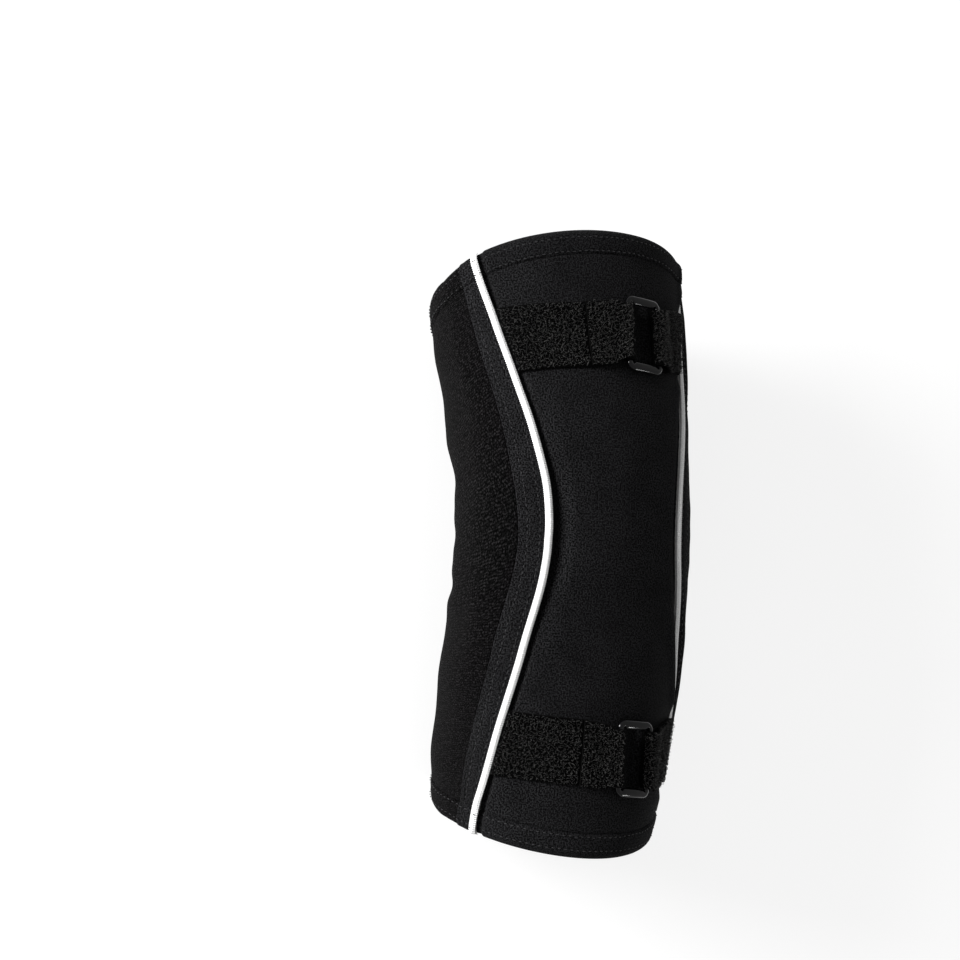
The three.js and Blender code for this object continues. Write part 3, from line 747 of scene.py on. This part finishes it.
def piping_ribbon(side, name):
    """The section carried along the seam, in four rows for each rib of the weave: ribs stand out at the top and
    at both edges as a cosine of the length. The first and last row are closed by a flat end."""
    across, up = piping_profile().T
    count = int(2 * HALF_LENGTH / WEFT_PITCH * WEFT_ROWS)
    share = np.linspace(0, 1, count)[:, None]
    angle = side * seam_angle("piping", 0 * share, side) + 0 * across
    for _ in range(ROUNDS):
        low, high = lower_rim(angle), upper_rim(angle)
        y = low + share * (high - low)
        edge = seam_angle("piping", y, side)
        angle = side * (edge + mm_angle(y, edge, across))
    rib = np.cos(2 * np.pi * y / WEFT_PITCH)
    fold = soft_waves(y, 0 * y, 24, seed=11 + side)
    shown = up > GAP + 0.1
    edgewise = np.sign(across - (PIPING_WIDTH / 2 - PIPING_OVERHANG)) * shown
    stray = WEFT_DEPTH * rib * edgewise + 0.12 * fold * shown
    angle = angle + side * mm_angle(y, edge, stray)
    outer, inner = wall_faces(rim_distance(y, angle))
    height = np.maximum(up + outer + shown * 0.06 * rib - seam_sink(y, angle, 0), inner + GAP)
    points = on_sleeve(y, angle, height + 0.15 * shown * hem_relief(y, angle))
    faces = closed_tube(count, len(across), turned=side > 0)
    piping = make_piece(name + "_ribbon", points, faces, np.stack([across + 0 * y, y], -1),
                        ribbon_white, sharp=60)
    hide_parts(name)


for side, name in ((-1, "left_piping"), (1, "right_piping")):
    piping_ribbon(side, name)

# The two straps and their ring loops: woven tape with a looped pile on the outside. Each is sewn into a piping
# seam, goes round the ring's bar and comes back on top of itself; it narrows a little in the ring.

TAPE_THICKNESS = 0.9  # the woven ground, without the pile
NECK_LENGTH = 5.0
STRAP_FOLLOW = 0.6  # share of the front panel's dip that a strap follows
SINK_FOLLOW = 0.8  # and of the right seam's sinking
STRAP_SWAY, STRAP_SWAY_LENGTH = 0.2, 19
FOLD_EASE = 0.35
LAYER_GAP = 0.25
LOOP_TAB = 16.0
TURN_FADE = 12.5
RING_END, RING_CORNER = 3.6, 2.4
BAR_HEIGHT = GAP + STRAP_THICKNESS + FOLD_EASE + RING_BAR / 2
BAR_OFF = (RING_BREADTH - RING_BAR) / 2
FOLD_HOLE = RING_BAR / 2 + FOLD_EASE
NECK = RING_LENGTH - 2 * RING_END - 2 * GAP  # a strap's width in its ring


def by_ring(strap, along, across, up):
    """A point over the front panel in strap coordinates, turned with the ring near it and less further on."""
    x = along - strap["ring"]
    fade = smooth(RING_BREADTH / 2, RING_BREADTH / 2 + TURN_FADE, np.abs(x))
    turn = np.radians(strap["turn"]) * (1 - fade)
    along = strap["ring"] + x * np.cos(turn) - across * np.sin(turn)
    y = strap_line(strap, along) + x * np.sin(turn) + across * np.cos(turn)
    angle = angle_at(y, along)
    inside = np.maximum(length_round(y, seam_angle("piping", y, angle)) - np.abs(along), 0)
    pressed = loop_press(y, along) + SINK_FOLLOW * seam_sink(y, angle, inside)
    return on_sleeve(y, angle, up - STRAP_FOLLOW * front_dip(y, angle) - pressed)


def folded_line(sewn, bar, tab, step=0.6):
    """The folded strap's middle line seen from its edge, as (along, height): flat from the seam to the bar,
    half a circle round it, and back down on top of itself in a smooth step."""
    radius = FOLD_HOLE + STRAP_THICKNESS / 2
    low = GAP + STRAP_THICKNESS / 2
    top = low + STRAP_THICKNESS + LAYER_GAP
    way = np.sign(bar - sewn)
    flat = np.arange(0, abs(bar - sewn), step)
    turn = np.linspace(0, np.pi, 14)
    back = np.linspace(0, 1, int(abs(tab - bar) / step))[1:]
    fall = (BAR_HEIGHT + radius - top) * (1 - smooth(0.1, 0.6, back))
    along = np.concatenate([sewn + way * flat, bar + way * radius * np.sin(turn), bar + back * (tab - bar)])
    height = np.concatenate([low + 0 * flat, BAR_HEIGHT - radius * np.cos(turn), top + fall])
    return along, height, len(flat)


def sewn_length(y, side):
    """How far from the crown a strap ends, at the piping's edge."""
    return length_round(y, seam_angle("piping", y, side)) - PIPING_OVERHANG - GAP


def strap_shape(strap, side, bar):
    """Functions that a strap's tape and its pile share: where it is sewn, its width, and the seam's slant."""
    crossing = strap["at"] * HALF_LENGTH
    middle = strap_line(strap, side * length_round(crossing, seam_angle("piping", crossing, side)))
    sewn = side * sewn_length(middle, side)

    def width(along):
        """The strap's width, which comes down to the neck beside the ring's bar."""
        clear = np.abs(along - bar) - FOLD_HOLE - STRAP_THICKNESS
        return NECK + (STRAP_WIDTH - NECK) * smooth(0, NECK_LENGTH, clear)

    def place(along, across, up):
        """A point on the strap, slanted with the seam near it, with a slow sway in its height."""
        near = 1 - smooth(0, 0.7, np.abs((along - sewn) / (bar - sewn)))
        slant = (side * sewn_length(middle + across, side) - sewn) * near
        sway = STRAP_SWAY * soft_waves(along, across, STRAP_SWAY_LENGTH, seed=int(40 + strap["ring"]))
        return by_ring(strap, along + slant, across, up + np.maximum(sway, -0.1))

    return sewn, width, place


tape_black, tree, shader, place = new_material("pile_tape")
weave = use_group(tree, jersey, Vector=place, Wale=0.8, Course=0.7)
fuzz = use_group(tree, nap, Vector=place, Size=0.5, Contrast=1.8)
colour = mix_colour(tree, fuzz, 0.0001, 0.0009)
height = calculate(tree, "MULTIPLY_ADD", fuzz, 0.5, calculate(tree, "MULTIPLY", weave, 0.5))
set_shader(tree, shader, colour, calculate(tree, "MULTIPLY_ADD", fuzz, 0.1, 0.8), height, 0.25,
           Sheen_Weight=0.01, Specular_IOR_Level=0.02)


def strap_tape(name, strap, side, bar, tab):
    """The tape: a rounded rectangle carried along the folded line, square to it, with flat ends."""
    sewn, width, place = strap_shape(strap, side, bar)
    along, height, folded = folded_line(sewn, bar, tab)
    way = np.stack([np.gradient(along), np.gradient(height)], -1)
    way /= np.linalg.norm(way, axis=1, keepdims=True)
    half = TAPE_THICKNESS / 2
    turn = np.linspace(-np.pi / 2, np.pi / 2, 5)
    flat = np.linspace(-1, 1, 34)[1:-1]
    share = np.concatenate([np.ones(5), flat[::-1], -np.ones(5), flat])
    inset = np.concatenate([np.cos(turn) - 1, 0 * flat, 1 - np.cos(turn), 0 * flat]) * half
    level = np.concatenate([np.sin(turn), 1 + 0 * flat, -np.sin(turn), 0 * flat - 1]) * half
    x = along[:, None] - way[:, 1:] * level
    across = share * (width(x) / 2) + inset
    points = place(x, across, height[:, None] + way[:, :1] * level)
    length = np.concatenate([[0], np.cumsum(np.hypot(np.diff(along), np.diff(height)))])
    uv = np.stack([across, length[:, None] + 0 * across], -1)
    tape = make_piece(name + "_tape", points, closed_tube(len(along), len(share), turned=False), uv,
                      tape_black)
    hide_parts(name)
    return place, width, along, height, way, length, folded


pile_yarn, tree, shader, place_uv = new_material("pile_yarn")
# The yarn's tone varies at random over the pile. Its lightest loops are painted glints, standing in for the
# light on the curls.
tone_and_glint = use_group(tree, nap, Vector=place_uv, Size=0.7, Contrast=3.5)
colour = mix_colour(tree, calculate(tree, "MULTIPLY", tone_and_glint, tone_and_glint), 0.0004, (0.0430, 0.0425, 0.0410))
set_shader(tree, shader, colour, calculate(tree, "MULTIPLY_ADD", tone_and_glint, 0.1, 0.5), tone_and_glint, 0.03,
           Specular_IOR_Level=0.25)

PILE_DENSITY = 1.3  # loops for each square mm
PILE_THREAD = 0.105  # radius of a loop's yarn
PILE_POINTS, PILE_SIDES = 6, 3
PILE_SPAN, PILE_HEIGHT = (0.28, 0.65), (0.5, 1.1)  # a loop's half length and its height, from and to
PILE_LEAN, PILE_CURL = 0.28, 0.14
CLUMP, CLUMP_LENGTH = 0.35, 3.1  # how much the pile's height changes, and over what length
PILE_START, PILE_CLEAR, PILE_STOP = 0.6, 0.9, 0.2  # bare tape at the seam, before the upper layer, at its end


def pile_loops(name, strap_parts, start, end, face, seed):
    """Small open loops of yarn that stand square on one face of the tape between two lengths along it: each is
    half a circle drawn out, leaned and turned at random, on a jittered grid. A three-sided tube follows it."""
    place, width, tape_along, tape_height, tape_way, tape_length, _ = strap_parts
    random = np.random.default_rng(seed)
    columns, rows = (int(length * np.sqrt(PILE_DENSITY)) for length in (end - start, STRAP_WIDTH - 1.2))
    i, j = (grid.ravel() for grid in np.meshgrid(np.arange(columns), np.arange(rows), indexing="ij"))
    count = len(i)
    far = start + (i + random.uniform(0, 1, count)) * (end - start) / columns
    wide = width(np.interp(far, tape_length, tape_along)) - 1.0
    across = ((j + random.uniform(0, 1, count)) / rows - 0.5) * wide
    clump = soft_waves(far, across, CLUMP_LENGTH, seed) * CLUMP + 1
    t = np.linspace(0, 1, PILE_POINTS)
    way = random.uniform(0, 2 * np.pi, (count, 1))
    span = random.uniform(*PILE_SPAN, (count, 1))
    tall = random.uniform(*PILE_HEIGHT, (count, 1)) * clump[:, None]
    lean = random.normal(0, PILE_LEAN, (2, count, 1))
    curl = random.normal(0, PILE_CURL, (count, 1)) * np.sin(2 * np.pi * t)
    rise = np.sin(np.pi * t) ** 0.8
    run = -span * np.cos(np.pi * t)
    v = far[:, None] + run * np.cos(way) - curl * np.sin(way) + lean[0] * rise
    w = across[:, None] + run * np.sin(way) + curl * np.cos(way) + lean[1] * rise
    level = face * (TAPE_THICKNESS / 2 - 0.08 + tall * rise)
    along, height = np.interp(v, tape_length, tape_along), np.interp(v, tape_length, tape_height)
    way_along, way_up = (np.interp(v, tape_length, tape_way[:, k]) for k in (0, 1))
    line = place(along - way_up * level, w, height + way_along * level)
    ahead = np.gradient(line, axis=1)
    ahead /= np.linalg.norm(ahead, axis=2, keepdims=True)
    plane = np.cross(line[:, :1] - line[:, -1:], line[:, 2:3] - line[:, :1]) + 1e-6
    plane = plane / np.linalg.norm(plane, axis=2, keepdims=True) + 0 * ahead
    second = np.cross(ahead, plane)
    ring = np.arange(PILE_SIDES) * 2 * np.pi / PILE_SIDES
    spoke = plane[:, :, None] * np.cos(ring)[:, None] + second[:, :, None] * np.sin(ring)[:, None]
    points = line[:, :, None] + PILE_THREAD * spoke
    single = grid_faces(PILE_POINTS, PILE_SIDES, closed_columns=True)
    first = np.arange(count)[:, None, None] * PILE_POINTS * PILE_SIDES
    cap = np.array([[2, 1, 0], [0, 1, 2]]) + [[0], [(PILE_POINTS - 1) * PILE_SIDES]]
    faces = (single[None] + first).reshape(-1, 4).tolist()
    faces += (cap[None] + first).reshape(-1, 3).tolist()
    uv = np.stack([v[:, :, None] + 0 * ring, w[:, :, None] + 0 * ring], -1)
    return make_piece(name, points, faces, uv, pile_yarn, sharp=180)


def pile_strap(name, strap, side, bar, tab, ridge, seed):
    """A strap's tape with the pile on its lower layer, up to where the folded-back end stops, and on the upper
    one, from a share of the half circle round the bar on."""
    parts = strap_tape(name, strap, side, bar, tab)
    along, length, folded = parts[2], parts[5], parts[6]
    pile_loops(f"{name}_pile_under", parts, PILE_START, abs(tab - along[0]) - PILE_CLEAR, -side, seed)
    fold_start = length[folded] + ridge * np.pi * (FOLD_HOLE + STRAP_THICKNESS / 2)
    pile_loops(f"{name}_pile_over", parts, fold_start, length[-1] - PILE_STOP, side, seed + 1)


for strap_name, strap in STRAP_SETS.items():
    left_bar, right_bar = strap["ring"] - BAR_OFF, strap["ring"] + BAR_OFF
    seed = int(100 * strap["ring"])
    pile_strap(f"{strap_name}_strap", strap, -1, left_bar, strap["tab"], 0.95, seed)
    pile_strap(f"{strap_name}_ring_loop", strap, 1, right_bar, right_bar + LOOP_TAB, 0.55, seed + 2)

# The two strap rings: rounded rectangles of glossy black plastic. The bar is round where the straps go round
# it, and widens towards the ring's inside on the two short sides.

ring_black, tree, shader, place = new_material("ring_black")
worn = use_group(tree, nap, Vector=place, Size=2.2, Contrast=1.6)
scratches = use_group(tree, nap, Vector=place, Size=0.25, Contrast=1.0)
colour = mix_colour(tree, worn, (0.0008, 0.0008, 0.0010), (0.0020, 0.0020, 0.0023))
set_shader(tree, shader, colour, calculate(tree, "MULTIPLY_ADD", worn, 0.07, 0.05), scratches, 0.003,
           Specular_IOR_Level=0.25, Coat_Weight=0.12, Coat_Roughness=0.03)


RING_SIDES, RING_SQUARENESS = 24, 2.5  # of the bar's section, a superellipse
RING_WIDENING = (4.6, 7.6)  # how far from the ring's middle the short bars stop being wide


def ring_path(step=0.4):
    """The bar's middle line: four quarter circles joined by straights, as points at even lengths."""
    half_x, half_y = BAR_OFF - RING_CORNER, (RING_LENGTH - RING_BAR) / 2 - RING_CORNER
    corners = []
    for start, x_side, y_side in ((0, 1, 1), (90, -1, 1), (180, -1, -1), (270, 1, -1)):
        turn = np.radians(np.linspace(start, start + 90, 13))
        x, y = x_side * half_x + RING_CORNER * np.cos(turn), y_side * half_y + RING_CORNER * np.sin(turn)
        corners.append(np.stack([x, y], -1))
    line = np.concatenate(corners + [corners[0][:1]])
    length = np.concatenate([[0], np.cumsum(np.linalg.norm(np.diff(line, axis=0), axis=1))])
    even = np.linspace(0, length[-1], int(length[-1] / step), endpoint=False)
    return np.stack([np.interp(even, length, line[:, k]) for k in (0, 1)], -1), even


def strap_ring(name, strap):
    """A superellipse carried round the bar's middle line; on the short sides it widens towards the inside."""
    line, length = ring_path()
    ahead = np.roll(line, -1, 0) - np.roll(line, 1, 0)
    ahead /= np.linalg.norm(ahead, axis=1, keepdims=True)
    turn = np.linspace(0, 2 * np.pi, RING_SIDES, endpoint=False)
    shape = np.stack([np.cos(turn), np.sin(turn)])
    shape = np.sign(shape) * np.abs(shape) ** (2 / RING_SQUARENESS) * RING_BAR / 2
    middle = 1 - smooth(*RING_WIDENING, np.abs(line[:, :1]))
    widening = (RING_END - RING_BAR) * middle * np.abs(ahead[:, :1])
    outwards = shape[0] * (1 + widening / RING_BAR) - widening / 2
    along = strap["ring"] + line[:, :1] + ahead[:, 1:] * outwards
    across = line[:, 1:] - ahead[:, :1] * outwards
    points = by_ring(strap, along, across, BAR_HEIGHT + shape[1] * 0.94 + 0 * along)
    faces = grid_faces(len(line), len(turn), True, True)[:, ::-1].tolist()
    uv = np.stack([length[:, None] + 0 * outwards, turn * RING_BAR / 2 + 0 * outwards], -1)
    ring = make_piece(name + "_moulding", points, faces, uv, ring_black, sharp=180)
    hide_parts(name)


for strap_name, strap in STRAP_SETS.items():
    strap_ring(f"{strap_name}_ring", strap)

# The top-stitching: black thread in two rows round each hem and two rows along each crook seam. Each stitch is
# a short arch of thread that dives into the cloth at both ends.

STITCH_LENGTH = 1.4
THREAD = 0.22  # radius
STITCH_RINGS, STITCH_SIDES = 6, 5
STITCH_DEPTH, STITCH_ARCH = 0.12, 0.26  # how deep a stitch's ends lie, and how far its middle rises from there
STITCH_SPREAD = (0.85, 1.1)  # of its length

thread_black, tree, shader, place = new_material("thread_black")
twist = add_node(tree, "ShaderNodeTexWave", {"Vector": place, "Scale": 1.6, "Distortion": 0.4},
                 wave_type="BANDS", bands_direction="DIAGONAL").outputs["Fac"]
colour = mix_colour(tree, twist, (0.006, 0.006, 0.007), (0.034, 0.033, 0.034))
set_shader(tree, shader, colour, calculate(tree, "MULTIPLY_ADD", twist, 0.1, 0.42), twist, 0.05,
           Specular_IOR_Level=0.2)


def cloth_height(y, angle):
    """Height of the outer face at a place, whichever piece is there: panel, piping, band or crook panel."""
    away, side = np.arccos(np.cos(angle)), np.sin(angle)
    edge = seam_angle("piping", y, side)
    over = length_round(y, away) - length_round(y, edge)
    on_front = np.where(away < edge, np.where(side < 0, -away, away), 0)
    height = np.where(away < edge, front_relief(y, on_front), band_relief(y, angle))
    height = np.where(away > seam_angle("band", y, side), crook_relief(y, angle), height)
    ribbon = (over > -PIPING_OVERHANG) & (over < PIPING_WIDTH - PIPING_OVERHANG)
    height = np.where(ribbon, GAP + PIPING_THICKNESS - 0.1 - seam_sink(y, angle, 0), height)
    return height + wall_faces(rim_distance(y, angle))[0]


def stitch_row(y, angle, seed):
    """Stitches at an even pitch along a line on the sleeve: points (stitch, ring, side) of a tube whose height
    rises and whose radius swells as a sine along the stitch."""
    random = np.random.default_rng(seed)
    line = on_sleeve(y, angle, 0 * y)
    length = np.concatenate([[0], np.cumsum(np.linalg.norm(np.diff(line, axis=0), axis=1))])
    count = int(length[-1] / STITCH_PITCH)
    t = np.linspace(0, 1, STITCH_RINGS)
    size = STITCH_LENGTH * random.uniform(*STITCH_SPREAD, (count, 1))
    place = (np.arange(count)[:, None] + 0.2) * STITCH_PITCH + t * size
    y, angle = np.interp(place, length, y), np.interp(place, length, angle)
    y = y + random.normal(0, 0.08, (count, 1)) + random.normal(0, 0.06, (count, 1)) * (t - 0.5)
    swell = np.sin(np.pi * np.clip(t, 0.04, 0.96))
    middle = on_sleeve(y, angle, cloth_height(y, angle) - STITCH_DEPTH + STITCH_ARCH * swell)
    out = sleeve_out(y, angle)[0]
    ahead = np.gradient(middle, axis=1)
    ahead /= np.linalg.norm(ahead, axis=2, keepdims=True)
    aside = np.cross(ahead, out)
    aside /= np.linalg.norm(aside, axis=2, keepdims=True)
    out = np.cross(aside, ahead)
    ring = np.arange(STITCH_SIDES) * 2 * np.pi / STITCH_SIDES
    spoke = aside[:, :, None] * np.cos(ring)[:, None] + out[:, :, None] * np.sin(ring)[:, None]
    radius = THREAD * (0.35 + 0.65 * swell)[:, None, None]
    return (middle[:, :, None] + radius * spoke).reshape(-1, STITCH_RINGS * STITCH_SIDES, 3)


def make_stitches(name, rows):
    """Rows of stitches as one mesh: the faces of one tube, counted on for each stitch."""
    stitches = np.concatenate(rows)
    single = grid_faces(STITCH_RINGS, STITCH_SIDES, closed_columns=True)[:, ::-1]
    ring = np.arange(STITCH_SIDES)
    first = np.arange(len(stitches))[:, None, None] * STITCH_RINGS * STITCH_SIDES
    faces = (single[None] + first).reshape(-1, 4).tolist()
    ends = np.array([ring, (ring + (STITCH_RINGS - 1) * STITCH_SIDES)[::-1]])
    faces += (ends[None] + first).reshape(-1, STITCH_SIDES).tolist()
    t = np.repeat(np.linspace(0, STITCH_LENGTH, STITCH_RINGS), STITCH_SIDES)
    uv = np.stack([t, np.tile(ring * 0.24, STITCH_RINGS)], -1) + 0 * stitches[:, :, :2]
    return make_piece(name, stitches, faces, uv, thread_black, sharp=180)


turn = np.linspace(-np.pi, np.pi, 1201)
for rim_name, rim, inwards in (("upper", upper_rim, -1), ("lower", lower_rim, 1)):
    rows = [stitch_row(rim(turn) + inwards * off, turn, 60 + k) for k, off in enumerate(HEM_ROWS)]
    make_stitches(f"{rim_name}_hem_stitches", rows)

for side, side_name in ((-1, "left"), (1, "right")):
    rows = []
    for k, off in enumerate(BAND_ROWS):
        share = np.linspace(0, 1, 801)
        angle = seam_angle("band", 0 * share, side)
        for _ in range(ROUNDS):
            low, high = lower_rim(side * angle) + HEM_WIDTH, upper_rim(side * angle) - HEM_WIDTH
            y = low + share * (high - low)
            angle = angle_at(y, length_round(y, seam_angle("band", y, side)) - band_row(y, side, off))
        rows.append(stitch_row(y, side * angle, 70 + k))
    make_stitches(f"{side_name}_band_stitches", rows)

# The pale floor, the soft light from the left, a small one at the lower right that gleams on the rings' rims,
# and the camera at the photograph's angle. None of them is part of the brace.

FLOOR_SIZE = 6.0
floor_mesh = bpy.data.meshes.new("floor")
corners = [(x * FLOOR_SIZE / 2, y * FLOOR_SIZE / 2, 0) for x, y in ((-1, -1), (1, -1), (1, 1), (-1, 1))]
floor_mesh.from_pydata(corners, [], [(0, 1, 2, 3)])
floor = bpy.data.objects.new("floor", floor_mesh)
bpy.context.scene.collection.objects.link(floor)
floor_white, tree, shader, place = new_material("floor_white")
grain = add_node(tree, "ShaderNodeTexNoise", {"Scale": 3.0, "Vector": add_node(
    tree, "ShaderNodeTexCoord").outputs["Object"]}).outputs[0]
tree.links.new(mix_colour(tree, grain, 0.33, 0.35), shader.inputs["Base Color"])
shader.inputs["Roughness"].default_value = 0.9
shader.inputs["Specular IOR Level"].default_value = 0.0
shader.inputs["Emission Color"].default_value = (1, 1, 1, 1)
shader.inputs["Emission Strength"].default_value = 0.74
floor_mesh.materials.append(floor_white)

world = bpy.data.worlds.new("studio")
world.use_nodes = True
world.node_tree.nodes["Background"].inputs["Color"].default_value = (1.0, 1.0, 1.0, 1)
world.node_tree.nodes["Background"].inputs["Strength"].default_value = 0.42
bpy.context.scene.world = world


def soft_light(name, place, target, size, power):
    """A square area light in metres and watts that looks at a target."""
    data = bpy.data.lights.new(name, "AREA")
    data.size = size
    data.energy = power
    light = bpy.data.objects.new(name, data)
    light.location = place
    back = np.subtract(place, target)
    light.rotation_euler = Vector(back).to_track_quat("Z", "Y").to_euler()
    bpy.context.scene.collection.objects.link(light)


soft_light("key", (-1.28, 0.42, 0.34), (0, 0, 0.04), 0.5, 44.0)
soft_light("gleam", (0.75, -0.80, 0.55), (0, 0, 0.05), 0.14, 1.6)

# The view is fitted to the outline, the piping and the rings in the photograph: 33 degrees from the zenith
# towards the left piping, turned by a hair, from 1.1 m.
VIEW_ANGLE = np.radians(33)
VIEW_ROLL = -0.02
VIEW_DISTANCE = 1.1
FRAME_WIDTH = 960 * 0.42 * MM  # what the picture's 960 pixels span at the brace
LOOK_AT = (0, 0, 0.040)
LOOK_ASIDE = (-0.034, 0.026)  # the middle of the picture from there, to the right and up
right = np.array([np.cos(VIEW_ANGLE), 0, np.sin(VIEW_ANGLE)])
back = np.array([-np.sin(VIEW_ANGLE), 0, np.cos(VIEW_ANGLE)])
along = np.array([0, 1, 0])
right, above = (np.cos(VIEW_ROLL) * right - np.sin(VIEW_ROLL) * along,
                np.sin(VIEW_ROLL) * right + np.cos(VIEW_ROLL) * along)
eye = np.array(LOOK_AT) + VIEW_DISTANCE * back
centre = np.array(LOOK_AT) + LOOK_ASIDE[0] * right + LOOK_ASIDE[1] * above
camera_data = bpy.data.cameras.new("camera")
camera_data.sensor_width = 36
camera_data.lens = 36 * VIEW_DISTANCE / FRAME_WIDTH
camera = bpy.data.objects.new("camera", camera_data)
bpy.context.scene.collection.objects.link(camera)
back = eye - centre
back /= np.linalg.norm(back)
side = np.cross(above, back)
side /= np.linalg.norm(side)
up = np.cross(back, side)
rows = [(*row, at) for row, at in zip(np.stack([side, up, back], 1), eye)]
camera.matrix_world = Matrix(rows + [(0, 0, 0, 1)])
bpy.context.scene.camera = camera
bpy.context.scene.view_settings.view_transform = "Standard"
